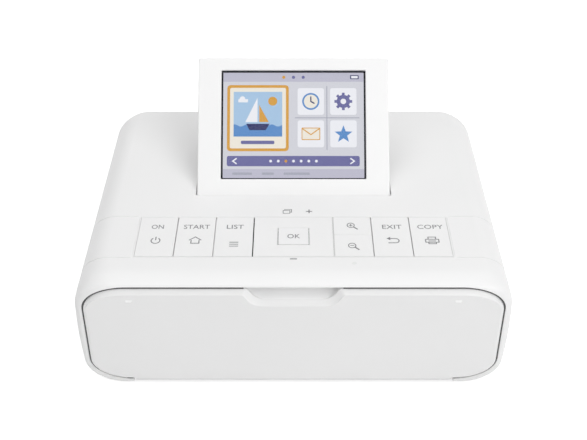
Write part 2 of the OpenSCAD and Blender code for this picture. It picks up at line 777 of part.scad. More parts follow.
module ok_key() color([0.88, 0.88, 0.88]) at_nav() {
  block(-ok_w / 2, ok_w / 2, -ok_len / 2, ok_len / 2, -key_t, 0.2);
  translate([0, 0, stem_end]) cylinder(h = -stem_end - key_t / 2, r = stem_r);
}

ring_mid = ring_z + ring_t / 2;
lug_in = ring_r + 0.3;
lug_out = ring_r + 1.6;

module nav_pad() color([0.93, 0.93, 0.93]) at_nav() {
  g = key_gap / 2;
  difference() {
    block(-nav_half_w + g, nav_half_w - g, -key_len / 2 + g, key_len / 2 - g, -key_t, 0);
    block(-ok_w / 2 - 0.4, ok_w / 2 + 0.4, -ok_len / 2 - 0.4, ok_len / 2 + 0.4, -key_t - 1, 1);
  }
  for (p = [[nav_switch_x, 0], [-nav_switch_x, 0], [0, nav_switch_y], [0, -nav_switch_y]])
    translate([p[0], p[1], stem_end]) cylinder(h = -stem_end - key_t / 2, r = 1.2);
  for (s = [-1, 1]) difference() {
    block(-1, 1, s > 0 ? lug_in : -lug_out, s > 0 ? lug_out : -lug_in, ring_mid - 0.8, -key_t + weld);
    translate([0, 0, ring_mid]) rotate([90, 0, 0])
      cylinder(h = far, r = trunnion_r + run_fit, center = true);
  }
}

// Ring between the pad and its posts: the pad rocks sideways on it, and it rocks front to rear
module nav_carrier() color([0.6, 0.6, 0.6]) at_nav() {
  difference() {
    translate([0, 0, ring_z]) cylinder(h = ring_t, r = ring_r);
    translate([0, 0, ring_z - 1]) cylinder(h = ring_t + 2, r = ring_inner_r);
  }
  for (s = [0, 90, 180, 270]) rotate([0, 0, s]) translate([ring_inner_r + 1, 0, ring_mid])
    rotate([0, 90, 0]) cylinder(h = lug_out - ring_inner_r - 1, r = trunnion_r);
}

// Middles of the switches under the keys, and of the four under the pad
key_stems = [
  [key_x(0) + key_pitch / 2, key_row_y], [key_x(1) + key_pitch / 2, key_row_y],
  [key_x(2) + key_pitch / 2, key_row_y], [key_x(4) + key_pitch / 2, key_row_y],
  [key_x(5) + key_pitch / 2, key_row_y],
  [key_x(3) + key_pitch / 2, (zoom_split + key_rear) / 2],
  [key_x(3) + key_pitch / 2, (zoom_split + key_front) / 2]
];
nav_stems = [for (a = [0, 90, 180, 270])
  [nav_switch_x * cos(a), key_row_y + nav_switch_y * sin(a)]];
// The OK key's switch lies inside the pad's ring, and the pad's switches clear of its lugs
ok_switch_w = 5;
ok_switch_h = switch_h - 0.6;
nav_switch_w = min(switch_w, 2 * (nav_switch_y - lug_out) - 0.6);

module key_board() color([0.1, 0.4, 0.25]) on_top() {
  block(-key_board_half_w, key_board_half_w, key_board_front, key_board_rear,
        -key_board_depth - board_t, -key_board_depth);
  // Posts that carry the pad's ring
  for (s = [-1, 1]) difference() {
    block(s > 0 ? lug_in : -lug_out, s > 0 ? lug_out : -lug_in, key_row_y - 1, key_row_y + 1,
          -key_board_depth - weld, ring_mid + 0.8);
    translate([0, key_row_y, ring_mid]) rotate([0, 90, 0])
      cylinder(h = far, r = trunnion_r + run_fit, center = true);
  }
}

module push_switch(p, w, h) translate([p[0], p[1], -key_board_depth]) {
  translate([-w / 2, -w / 2, 0]) cube([w, w, h]);
  cylinder(h = switch_h + plunger_h, r = 1.5);
}

module key_switches() color([0.2, 0.2, 0.2]) on_top() {
  for (p = key_stems) push_switch(p, switch_w, switch_h);
  for (p = nav_stems) push_switch(p, nav_switch_w, switch_h);
  push_switch([0, key_row_y], ok_switch_w, ok_switch_h);
}

module status_lamp() color([0.8, 0.9, 0.8]) on_top()
  translate([lamp_at[0], lamp_at[1], -wall]) cylinder(h = wall, r = lamp_r - 0.03);

// Chassis

module chassis_floor() color([0.72, 0.74, 0.76]) difference() {
  union() {
    block(-plate_out, plate_out, plates_front, plates_rear, floor_top, plate_foot_z);
    for (x = [-screw_x, screw_x], y = [-screw_y, screw_y])
      translate([x, y, floor_top]) cylinder(h = bay_bottom - 0.3 - floor_top, r = 3.2);
  }
  for (x = [-screw_x, screw_x], y = [-screw_y, screw_y])
    translate([x, y, 0]) cylinder(h = far, r = screw_r + run_fit);
  // Windows that leave the floor a frame
  block(-floor_window_half_w, floor_window_half_w, plates_front + 14, step_y - 3, 0, bay_bottom);
  block(-floor_window_half_w, floor_window_half_w, platen_y + 8, platen_y + 18, 0, bay_bottom);
}

plate_outline = [
  [plates_front, plate_foot_z], [plates_rear, plate_foot_z], [plates_rear, plates_top],
  [step_y, plates_top], [step_y, low_plate_top], [plates_front, low_plate_top]
];

module plate_bores() {
  for (p = [platen_at, capstan_at, pickup_at]) translate(p) circle(shaft_r + run_fit);
  for (p = [pinch_at, cam_at, head_axis]) translate(p) circle(cam_shaft_r + run_fit);
}

module left_plate() color([0.75, 0.76, 0.78]) {
  slab_x(-plate_out, -plate_in) difference() {
    polygon(plate_outline);
    plate_bores();
    translate(takeup_at) circle(hub_r + run_fit);
  }
  // Studs that the idlers turn on, and posts for the motor bracket
  for (p = [idler_at, pickup_idler_at]) rod(stud_end, -plate_out + weld, p, shaft_r);
  for (p = bracket_posts) rod(-plate_out - bracket_gap, -plate_out + weld, p, 2.5);
}

module right_plate() color([0.75, 0.76, 0.78]) {
  slab_x(plate_in, plate_out) difference() {
    polygon(plate_outline);
    plate_bores();
    for (p = [takeup_at, supply_at]) translate(p) circle(housing_r + 0.3);
    translate([takeup_y, spool_z - 3]) square([supply_y - takeup_y, housing_r + 3.3]);
  }
  // Tab that carries the eject lever
  difference() {
    block(plate_out - weld, lever_at[0] + tab_half_w + 0.5, lever_at[1] - tab_half_w, lever_at[1] + tab_half_w,
          lever_z + lever_t + 0.2, lever_z + lever_t + tab_t + 0.2);
    translate([lever_at[0], lever_at[1], 0]) cylinder(h = far, r = lever_pin_r);
  }
}

module motor_bracket() color([0.7, 0.71, 0.73]) difference() {
  slab_x(bracket_x, bracket_x + bracket_t)
    polygon([[bracket_front, bracket_low], [bracket_front + 23, bracket_low], [bracket_rear, bracket_low + 24],
             [bracket_rear, bracket_top], [bracket_front, bracket_top]]);
  for (p = [feed_motor_at, ribbon_motor_at]) rod(bracket_x - 1, bracket_x + 3, p, motor_boss_r + 0.05);
}

// Paper drive

module platen_shaft() color([0.8, 0.8, 0.82]) {
  rod(gear_x + weld, plate_out + 1, platen_at, shaft_r);
  difference() {
    gear(platen_at, wheel_teeth, 0);
    rod(gear_x - 1, gear_x + gear_t + 1, platen_at, shaft_r / 2);
  }
}

module platen_rubber() color([0.15, 0.15, 0.16]) difference() {
  rod(-roller_len / 2, roller_len / 2, platen_at, platen_r);
  rod(-far, far, platen_at, shaft_r);
}

module capstan() color([0.8, 0.8, 0.82]) {
  rod(gear_x + weld, plate_out + 1, capstan_at, shaft_r);
  rod(-roller_len / 2, roller_len / 2, capstan_at, capstan_r);
  gear(capstan_at, feed_teeth, capstan_turn);
}

module pinch_roller() color([0.3, 0.3, 0.32]) {
  rod(-plate_out - 0.8, plate_out + 0.8, pinch_at, cam_shaft_r);
  rod(-roller_len / 2, roller_len / 2, pinch_at, pinch_r);
}

module idler_gear() color([0.9, 0.9, 0.85]) difference() {
  gear(idler_at, wheel_teeth, idler_turn);
  rod(gear_x - 1, gear_x + gear_t + 1, idler_at, shaft_r + run_fit);
}

// Motor can with a boss in the bracket, and a bore for the pinion's shaft
module motor(at, r) difference() {
  union() {
    rod(bracket_x - motor_len, bracket_x, at, r);
    rod(bracket_x - weld, bracket_x + bracket_t, at, motor_boss_r);
  }
  rod(bracket_x - 6, bracket_x + 5, at, motor_shaft_r + run_fit);
}

module pinion(at, turn) {
  gear(at, pinion_teeth, turn);
  rod(bracket_x - 5.8, gear_x + weld, at, motor_shaft_r);
}

module feed_motor() color([0.7, 0.7, 0.72]) motor(feed_motor_at, feed_motor_r);
module ribbon_motor() color([0.7, 0.7, 0.72]) motor(ribbon_motor_at, ribbon_motor_r);
module feed_pinion() color([0.85, 0.8, 0.5]) pinion(feed_motor_at, feed_pinion_turn);
module ribbon_pinion() color([0.85, 0.8, 0.5]) pinion(ribbon_motor_at, ribbon_pinion_turn);

// Thermal head

module thermal_head() color([0.85, 0.85, 0.8])
  block(-head_half_len, head_half_len, platen_y - head_w / 2, platen_y + head_w / 2,
        head_rest_z, head_rest_z + head_t);

module heat_sink() color([0.6, 0.62, 0.65]) {
  base = head_rest_z + head_t;
  difference() {
    block(-head_half_len, head_half_len, platen_y - head_w / 2, platen_y + head_w / 2, base, arm_z);
    for (z = [base + 5:3:arm_z - 3])
      for (s = [-1, 1]) block(-far, far, platen_y + (s > 0 ? 1.2 : -head_w), platen_y + (s > 0 ? head_w : -1.2),
                              z, z + 1.6);
  }
}

module head_arm() color([0.72, 0.73, 0.75]) {
  side_x = plate_in - 2.5;
  block(-side_x, side_x, arm_front, head_axis[0] + 2, arm_z, arm_z + arm_t);
  mirrored() rod(side_x - 2, plate_out + 0.6, head_axis, head_pin_r);
}

module head_springs() color([0.6, 0.6, 0.62]) mirrored() difference() {
  rod(plate_in - 2.2, plate_in, head_axis, 2.7);
  rod(0, far, head_axis, head_pin_r + 0.2);
}

module head_cam() color([0.92, 0.92, 0.9]) {
  rod(-plate_out - 0.8, plate_out + 0.8, cam_at, cam_shaft_r);
  mirrored() rod(40, 46, [cam_at[0], cam_at[1] + cam_throw], cam_r);
}

// Ink cassette

module housing_tube(at) difference() {
  rod(cassette_left, cassette_right, at, housing_r);
  rod(cassette_left + 1.5, cassette_right - 1.5, at, housing_r - housing_wall);
}

module ink_cassette() color([0.25, 0.25, 0.27]) difference() {
  union() {
    housing_tube(takeup_at);
    housing_tube(supply_at);
    for (x = [[cassette_left, cassette_left + 4], [cassette_right - 6, cassette_right]])
      difference() {
        block(x[0], x[1], takeup_y, supply_y, spool_z + housing_r - 6, spool_z + housing_r);
        for (p = [takeup_at, supply_at]) rod(-far, far, p, housing_r - housing_wall);
      }
  }
  for (p = [takeup_at, supply_at]) rod(-far, far, p, hub_r + run_fit);
}

module spool(at) {
  rod(-49, 49, at, spool_r);
  rod(cassette_left, cassette_right, at, hub_r);
}

module supply_spool() color([0.3, 0.25, 0.4]) spool(supply_at);
module takeup_spool() color([0.3, 0.25, 0.4]) spool(takeup_at);

module takeup_gear() color([0.9, 0.9, 0.85]) {
  gear(takeup_at, wheel_teeth, 0);
  rod(gear_x + weld, cassette_left, takeup_at, hub_r);
}

// Paper pick-up

module pickup_idler() color([0.9, 0.9, 0.85]) difference() {
  gear(pickup_idler_at, long_teeth, pickup_idler_turn);
  rod(gear_x - 1, gear_x + gear_t + 1, pickup_idler_at, shaft_r + run_fit);
}

module pickup_shaft() color([0.8, 0.8, 0.82]) {
  gear(pickup_at, feed_teeth, pickup_turn);
  rod(gear_x + weld, plate_out + 1, pickup_at, shaft_r);
}

module pickup_arm() color([0.35, 0.35, 0.37]) {
  for (x = [-14, 12]) slab_x(x, x + 2) difference() {
    union() {
      translate(pickup_at) circle(3.6);
      translate(pickup_roller_at) circle(3.4);
      translate(pickup_at) rotate(turn_of(pickup_at, pickup_roller_at)) translate([0, -2.6])
        square([norm(pickup_roller_at - pickup_at), 5.2]);
    }
    translate(pickup_at) circle(shaft_r + run_fit);
    translate(pickup_roller_at) circle(cam_shaft_r + run_fit);
  }
  translate([0, pickup_at[0], pickup_at[1]]) rotate([turn_of(pickup_at, pickup_roller_at), 0, 0])
    block(-12.5, 12.5, 5, 8, -2.6, 2.6);
}

module pickup_roller() color([0.15, 0.15, 0.16]) {
  rod(-14.6, 14.6, pickup_roller_at, cam_shaft_r);
  rod(-11, 11, pickup_roller_at, pickup_r);
}

// Eject lever over the cassette's right end

lever_at = [plate_out + 4.5, (takeup_y + supply_y) / 2 - 1];
lever_z = spool_z + housing_r + 1.1;
lever_t = 1.4;
lever_pin_r = 1.2;
lever_half_w = 3;
lever_end = cassette_right + 3;
lever_tip_t = 2;
lever_drop = 4.4;
tab_half_w = 5;
tab_t = 1.2;

module eject_lever() color([0.3, 0.45, 0.75]) {
  block(lever_at[0] - lever_half_w, lever_end, lever_at[1] - lever_half_w, lever_at[1] + lever_half_w,
        lever_z, lever_z + lever_t);
  block(lever_end - lever_tip_t, lever_end, lever_at[1] - lever_half_w, lever_at[1] + lever_half_w,
        lever_z - lever_drop, lever_z + weld);
  translate([lever_at[0], lever_at[1], lever_z]) cylinder(h = lever_t + 1.4, r = lever_pin_r - run_fit);
}

// Boards and sockets

board_side_gap = 4.3;
chip_t = 1.6;
// Chips on the main board: left edge, distance behind the plates' front, width and depth
chips = [[-44, 10, 12, 12], [-20, 12, 18, 18], [12, 14, 10, 14], [36, 8, 14, 9]];
// Lengths of the two sockets' shells and the depth of their mouths
usb_len = 16.1;
mini_len = 9.1;

module main_board() color([0.1, 0.35, 0.2]) {
  block(-plate_in, half_w - board_side_gap, plates_front + 1, step_y - 3, main_board_z, main_board_z + board_t);
  for (c = chips) translate([c[0], plates_front + c[1], main_board_z + board_t - weld])
    cube([c[2], c[3], chip_t]);
}

module card_slot() color([0.7, 0.71, 0.73]) difference() {
  block(plate_out + 2, half_w - wall, card_at[0] - 0.8, card_at[1] + 0.8, card_z[0] - 0.8, main_board_z);
  block(plate_out + 3.5, far, card_at[0], card_at[1], card_z[0], card_z[1] - 0.2);
}

module usb_sockets() color([0.75, 0.76, 0.78]) {
  usb_x = half_w - wall - usb_len;
  mini_x = half_w - wall - mini_len;
  difference() {
    block(usb_x, half_w - wall, usb_at[0] - 0.4, usb_at[1] + 0.4, usb_z[0] - 0.5, main_board_z);
    block(usb_x + 2, far, usb_at[0], usb_at[1], usb_z[0], usb_z[1]);
  }
  block(usb_x + 1.9, half_w - wall - 1, usb_at[0] + 0.8, usb_at[1] - 0.8, usb_z[1] - 2.4, usb_z[1] - 0.6);
  difference() {
    block(mini_x, half_w - wall, mini_at[0] - 0.4, mini_at[1] + 0.4, mini_z[0] - 0.4, main_board_z);
    block(mini_x + 1, far, mini_at[0], mini_at[1], mini_z[0], mini_z[1]);
  }
}

dc_x = 18.3 - half_w;
dc_z = 28;
dc_r = 3.4;
dc_half = 5;
dc_len = 10;

module dc_socket() color([0.12, 0.12, 0.13]) translate([dc_x, 0, dc_z]) difference() {
  union() {
    block(-dc_half, dc_half, rear_y - wall - dc_len, rear_y - wall, -dc_half, dc_half);
    rotate([-90, 0, 0]) translate([0, 0, rear_y - wall - 1]) cylinder(h = wall, r = dc_r);
  }
  rotate([-90, 0, 0]) translate([0, 0, rear_y - wall - 8]) cylinder(h = far, r = dc_r - 0.6);
}

battery_x = [half_w - 27.1, half_w - 16.3];
battery_z = [seam_z + 3, seam_z + 8];

module battery_port() color([0.12, 0.12, 0.13]) difference() {
  block(battery_x[0] - 0.6, battery_x[1] + 0.8, rear_y - wall - 6, rear_y - wall,
        battery_z[0] - 0.8, battery_z[1] + 0.8);
  block(battery_x[0], battery_x[1], rear_y - wall - 5, far, battery_z[0], battery_z[1]);
}

top_cover();
base_cover();
rear_panel();
front_cover();
front_cover_pins();
front_frame();
ink_door();
ink_door_pins();
rubber_feet();
case_screws();
power_key();
home_key();
menu_key();
nav_carrier();
nav_pad();
ok_key();
zoom_in_key();
zoom_out_key();
back_key();
print_key();
key_board();
key_switches();
status_lamp();
screen_bezel();
screen_back();
display_window();
display_module();
screen_hinge_pins();
chassis_floor();
left_plate();
right_plate();
motor_bracket();
platen_shaft();
platen_rubber();
capstan();
pinch_roller();
idler_gear();
feed_motor();
feed_pinion();
thermal_head();
heat_sink();
head_arm();
head_springs();
head_cam();
ink_cassette();
supply_spool();
takeup_spool();
takeup_gear();
ribbon_motor();
ribbon_pinion();
pickup_idler();
pickup_shaft();
pickup_arm();
pickup_roller();
eject_lever();
main_board();
card_slot();
usb_sockets();
dc_socket();
battery_port();
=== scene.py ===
"""Looks of a compact photo printer: a white case with a raised screen, a key row and a front cover."""
import math

import bmesh
import bpy
import numpy as np
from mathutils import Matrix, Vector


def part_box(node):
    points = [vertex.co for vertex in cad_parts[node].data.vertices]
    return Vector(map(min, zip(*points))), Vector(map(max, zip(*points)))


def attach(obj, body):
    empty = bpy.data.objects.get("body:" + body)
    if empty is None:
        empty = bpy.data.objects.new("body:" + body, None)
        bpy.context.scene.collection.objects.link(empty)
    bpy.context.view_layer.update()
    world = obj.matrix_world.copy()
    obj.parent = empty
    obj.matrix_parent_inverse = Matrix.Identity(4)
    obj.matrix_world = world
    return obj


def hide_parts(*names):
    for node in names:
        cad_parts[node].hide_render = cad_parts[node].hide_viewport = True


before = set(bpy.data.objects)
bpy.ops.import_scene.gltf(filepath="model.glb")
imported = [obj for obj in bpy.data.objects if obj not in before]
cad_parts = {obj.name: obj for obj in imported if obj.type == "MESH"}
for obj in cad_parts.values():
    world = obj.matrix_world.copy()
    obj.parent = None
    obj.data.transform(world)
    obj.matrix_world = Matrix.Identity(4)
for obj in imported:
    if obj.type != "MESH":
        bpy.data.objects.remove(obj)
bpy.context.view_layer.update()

# Millimetres are used throughout, and a mesh is scaled to metres as it is made
MM = 0.001


def span(node):
    """Lowest and highest corner of a CAD node, in millimetres."""
    low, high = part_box(node)
    return np.array(low) / MM, np.array(high) / MM


# Case
HALF_W = span("top_cover")[1][0]
REAR_Y = span("top_cover")[1][1]
UNDERSIDE = span("base_cover")[0][2]
SEAM_Z = span("top_cover")[0][2]
SEAM_GAP = 0.06
COVER_FACE_Y = span("front_cover")[0][1]
RIM_Y = COVER_FACE_Y + 1.1
CASE_H = 63.3
TOP_SLOPE = math.radians(2.8)
WALL = 2.2
SHOULDER_LEN = 10.0
SHOULDER_R = 24.0
LIP_R = 1.45
RIM_R = 3.0
REAR_CORNER_R = 10.0
REAR_EDGE_R = 3.0
LAMP_MID = (25.3, -54.3)
LAMP_R = 0.9
REAR_OPENING_HALF_W = 78.3
REAR_OPENING_TOP = 52.0
FAR = 120

# Cover opening and cover
OPENING_HALF_W = 87.4
OPENING_TOP = 54.3
OPENING_LOW = 3.6
OPENING_CORNER_X = 18.0
OPENING_CORNER_TOP = 11.0
OPENING_CORNER_LOW = 12.0
CORNER_MID_X = OPENING_HALF_W - OPENING_CORNER_X
COVER_GAP = 0.78
LOW_GAP = 1.15
HINGE_CLEAR_Y = -60.5
FOOT_HALF_W = span("front_cover_pins")[1][0] - 6.4
FOOT_Z = span("front_cover")[0][2]
NOTCH_HALF_TOP = 20.3
NOTCH_HALF_FLOOR = 10.8
NOTCH_DEPTH = 5.7
COVER_BACK_Y = COVER_FACE_Y + 3.0
DASH_MID_X = 67.3
DASH_Z = (48.0, 48.85)
EAR_MID = 71.0
EAR_HALF_W = 0.8
EAR_OUTLINE = [(-61.3, 1.7), (-61.2, 7.4), (-61.9, 8.4), (-66.6, 8.45), (-67.2, 8.1), (-67.25, 7.4),
               (-66.9, 7.85), (-66.3, 7.95), (-65.6, 7.5), (-65.2, 7.1), (-63.3, 6.9), (-63.1, 6.2), (-63.1, 1.7)]

# Ink door in the right side, and the sockets ahead of it as (y0, y1, z0, z1)
DOOR_Y = (-4.4, 56.6)
DOOR_Z = (13.0, 46.4)
DOOR_AXIS = (88.2, 54.2)
DOOR_GAP = 0.4
SOCKETS = [(-56.5, -31.5, 38.3, 40.6), (-28.2, -15.8, 34.8, 40.4), (-12.6, -5.8, 37.0, 40.0)]

# Key row and screen well, square to the sloping top
KEY_ROW_HALF_W = 67.5
KEY_ROW_Y = (-50.5, -22.8)
KEY_MID_Y = -36.65
WELL_HALF_W = 44.4
WELL_Y = (-6.85, 61.6)
WELL_DEPTH = 10.2
WELL_WALL = 1.8

# Screen panel, from its hinge axis
PANEL_AXIS_Y = -3.4
PANEL_OPEN = math.radians(46.0)
PANEL_HALF_W = 43.95
PANEL_LEN = 64.3
PANEL_FACE = 3.0
PANEL_SPLIT = PANEL_FACE - 2.5
PANEL_EDGE_R = 0.7
BARREL_R = 3.0
WINDOW_HALF_W = 33.25
WINDOW_U = (7.5, 58.3)
PICTURE_V = 1.45
PICTURE_STEP = 0.035
PICTURE_COLORS = {"ground": "D5D6DC", "lilac": "C0BFCE", "slate": "6C6C9E", "orange": "D9A03C", "cream": "F1EBDD",
                  "sky": "A9C8E4", "blue": "5C8FC9", "navy": "2F3566", "white": "F0F1F5", "line": "A9ABB8"}

# Print on the keys
KEY_X = {"power": -58.9, "home": -42.0, "menu": -25.4, "back": 42.6, "print": 59.2}
SIGN_Y = -39.3
WORD_HEIGHT = 2.9
WORD_STRETCH = 1.12
PEN = 0.46

# CAD nodes of these slots keep their own mesh and get their edges rounded
EDGED_SLOTS = ("key_white", "ok_key_grey", "rear_white")


# Shapes

def make_mesh(name, points, faces):
    """Mesh of points in millimetres and faces that list them, turned outwards."""
    mesh = bpy.data.meshes.new(name)
    mesh.from_pydata((np.asarray(points, float).reshape(-1, 3) * MM).tolist(), [], faces)
    work = bmesh.new()
    work.from_mesh(mesh)
    bmesh.ops.remove_doubles(work, verts=work.verts, dist=1e-7)
    bmesh.ops.recalc_face_normals(work, faces=work.faces)
    work.to_mesh(mesh)
    work.free()
    return mesh


def raw_object(name, data):
    thing = bpy.data.objects.new(name, data)
    bpy.context.scene.collection.objects.link(thing)
    return thing


def skin(name, grid, around=True, along=False, caps=True):
    """Object over a grid of points: each four neighbours make a face. Around closes the columns, along
    the rows, and caps puts a face on the first and last row."""
    grid = np.array(grid)
    rows, cols = grid.shape[:2]
    index = np.arange(rows * cols).reshape(rows, cols)
    ends = [index[0, ::-1].tolist(), index[-1].tolist()]
    if along:
        index = np.vstack([index, index[:1]])
    if around:
        index = np.hstack([index, index[:, :1]])
    quads = np.stack([index[:-1, :-1], index[:-1, 1:], index[1:, 1:], index[1:, :-1]], -1)
    faces = quads.reshape(-1, 4).tolist() + (ends if caps else [])
    return raw_object(name, make_mesh(name, grid, faces))


def at_level(loop, axis, value):
    """Loop of points with the number for one more axis."""
    return np.insert(loop, axis, value, axis=1)


def set_bevel(thing, width, angle):
    """Rounds the object's edges that are sharper than the angle."""
    step = thing.modifiers.new("edges", "BEVEL")
    step.width = width * MM
    step.segments = 2
    step.limit_method = "ANGLE"
    step.angle_limit = math.radians(angle)


def new_mesh_of(thing):
    """The object's mesh as its modifiers leave it."""
    bpy.context.view_layer.update()
    seen = thing.evaluated_get(bpy.context.evaluated_depsgraph_get())
    return bpy.data.meshes.new_from_object(seen)


def bake(thing):
    """The object's modifiers are worked into its mesh."""
    mesh = new_mesh_of(thing)
    thing.modifiers.clear()
    thing.data = mesh


def combine(thing, tools, kind="DIFFERENCE"):
    """The tools are taken from the object, or joined with it."""
    for tool in tools:
        step = thing.modifiers.new("combine", "BOOLEAN")
        step.operation = kind
        step.solver = "EXACT"
        step.object = tool
    bake(thing)
    for tool in tools:
        bpy.data.objects.remove(tool)
    return thing


def smooth(mesh, angle):
    """Faces are smooth, and edges sharper than the angle are marked sharp."""
    mesh.polygons.foreach_set("use_smooth", np.ones(len(mesh.polygons), bool))
    work = bmesh.new()
    work.from_mesh(mesh)
    limit = math.radians(angle)
    for edge in work.edges:
        edge.smooth = len(edge.link_faces) == 2 and edge.calc_face_angle() < limit
    work.to_mesh(mesh)
    work.free()


def finish_piece(thing, slot, body, replaces=(), angle=32.0, bevel=0.0, material=None):
    """The object gets its body and the given material, or else the slot's own material. Edges sharper than the angle
    stay crisp, or are rounded by a bevel."""
    thing.data.materials.clear()
    thing.data.materials.append(material or LOOK[slot])
    if bevel:
        set_bevel(thing, bevel, angle)
        bake(thing)
    smooth(thing.data, angle)
    steady = thing.modifiers.new("normals", "WEIGHTED_NORMAL")
    steady.keep_sharp = True
    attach(thing, body)
    if replaces:
        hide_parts(*replaces)


def box(low, high, place=None):
    """Plain block between two corners, used as a cutting tool."""
    corners = np.array([[x, y, z] for x in (0, 1) for y in (0, 1) for z in (0, 1)], float)
    points = np.array(low) + corners * (np.array(high) - np.array(low))
    if place:
        points = place(points)
    faces = [[0, 1, 3, 2], [4, 6, 7, 5], [0, 4, 5, 1], [2, 3, 7, 6], [0, 2, 6, 4], [1, 5, 7, 3]]
    return raw_object("tool", make_mesh("tool", points, faces))


def on_top(points):
    """Points given square to the sloping top, with their height above it, turned by the slope."""
    x, y, z = np.moveaxis(np.asarray(points, float), -1, 0)
    base = CASE_H - REAR_Y * math.tan(TOP_SLOPE)
    up = base + y * math.sin(TOP_SLOPE) + z * math.cos(TOP_SLOPE)
    return np.stack([x, y * math.cos(TOP_SLOPE) - z * math.sin(TOP_SLOPE), up], -1)


def in_panel(points):
    """Points given as (x, way up the panel, way out of its face), turned by the panel's angle about the
    hinge axis and set on the top."""
    x, u, v = np.moveaxis(np.asarray(points, float), -1, 0)
    y = PANEL_AXIS_Y + u * math.cos(PANEL_OPEN) - v * math.sin(PANEL_OPEN)
    z = u * math.sin(PANEL_OPEN) + v * math.cos(PANEL_OPEN) - BARREL_R
    return on_top(np.stack([x, y, z], -1))


def quarter(steps, angle=90.0):
    """Angles in radians from nothing to a quarter turn, or to the given angle."""
    return np.linspace(0, math.radians(angle), steps)


def disc(mid, radius, steps=24):
    """Circle as a loop of points."""
    turn = np.linspace(0, 2 * math.pi, steps + 1)[:-1]
    return np.array(mid) + radius * np.stack([np.cos(turn), np.sin(turn)], -1)


def drawn_in(distance, radius):
    """How far a quarter round of that radius lies inside its flat at a distance from its end:
    radius - sqrt(radius^2 - (radius - distance)^2), and nothing past the radius."""
    left = np.clip(radius - distance, 0, radius)
    return radius - np.sqrt(radius**2 - left**2)


def round_steps(radius, count=6):
    """Steps of a quarter round as (distance in from the side, distance below the face)."""
    return [(radius * (1 - math.cos(a)), radius * (1 - math.sin(a))) for a in quarter(count)]


def bezier(t, *pulls):
    """Cubic Bezier curve: four points weighted by (1-t)^3, 3t(1-t)^2, 3t^2(1-t) and t^3."""
    weights = ((1 - t)**3, 3 * t * (1 - t)**2, 3 * t * t * (1 - t), t**3)
    return sum(weight * pull for weight, pull in zip(weights, pulls))


def rounded_loop(x0, x1, y0, y1, radius, steps=6):
    """Rectangle with quarter-round corners as one loop of points, anticlockwise."""
    loop = []
    for cx, cy, start in ((x1, y1, 0), (x0, y1, 1), (x0, y0, 2), (x1, y0, 3)):
        inward = np.array([math.copysign(1, x0 + x1 - 2 * cx), math.copysign(1, y0 + y1 - 2 * cy)])
        centre = np.array([cx, cy]) + radius * inward
        angle = quarter(steps + 1) + start * math.pi / 2
        loop.append(centre + radius * np.stack([np.cos(angle), np.sin(angle)], -1))
    return np.concatenate(loop)


def flare_steps(flare, angle):
    """Flare at a hole's mouth, a quarter round up to the angle: its growths and the heights left."""
    turn = quarter(5, angle)
    grow = np.concatenate([[0.0], flare * (1 - np.cos(turn)), [flare * (1 - math.cos(turn[-1]))]])
    return grow, flare * (1 - np.sin(turn))


def flared_tool(x0, x1, y0, y1, depth, flare, place, corner=0.6):
    """Cutting block for a hole in a flat face: straight, then a quarter round outwards at the face."""
    grow, left = flare_steps(flare, 76)
    rise = np.concatenate([[-depth], -left, [1.0]])
    return skin("tool", place(np.array([at_level(
        rounded_loop(x0 - g, x1 + g, y0 - g, y1 + g, corner + g), 2, z) for g, z in zip(grow, rise)])))


# Case shells

def end_steps(radius, count):
    """Distances from an end that follow a quarter round: closest where it turns fastest."""
    return radius * (1 - np.cos(quarter(count)))


def side_swell(z):
    """How far the case's sides swell outwards at a height: a parabola that is highest half way up."""
    return 0.7 * np.clip(1 - ((z - 31.0) / 17.0)**2, 0, 1)


def section(half_w, low, high, wide_top, tall_top, wide_low, tall_low, swell):
    """One section of the case as a closed loop in X and Z: a rectangle whose upper and lower corners
    are quarters of ellipses and whose sides swell by a share of side_swell."""
    turn = quarter(15)
    wall = np.linspace(low + tall_low, high - tall_top, 11)[1:-1]
    right = np.concatenate([
        np.stack([half_w - wide_low + wide_low * np.sin(turn), low + tall_low * (1 - np.cos(turn))], -1),
        np.stack([np.full(9, half_w), wall], -1),
        np.stack([half_w - wide_top + wide_top * np.cos(turn), high - tall_top * (1 - np.sin(turn))], -1)])
    right[:, 0] += swell * side_swell(right[:, 1])
    across = np.linspace(1, -1, 9)[1:-1]
    top = np.stack([(half_w - wide_top) * across, np.full(7, high)], -1)
    under = np.stack([(half_w - wide_low) * -across, np.full(7, low)], -1)
    return np.concatenate([right, top, right[::-1] * [-1, 1], under])


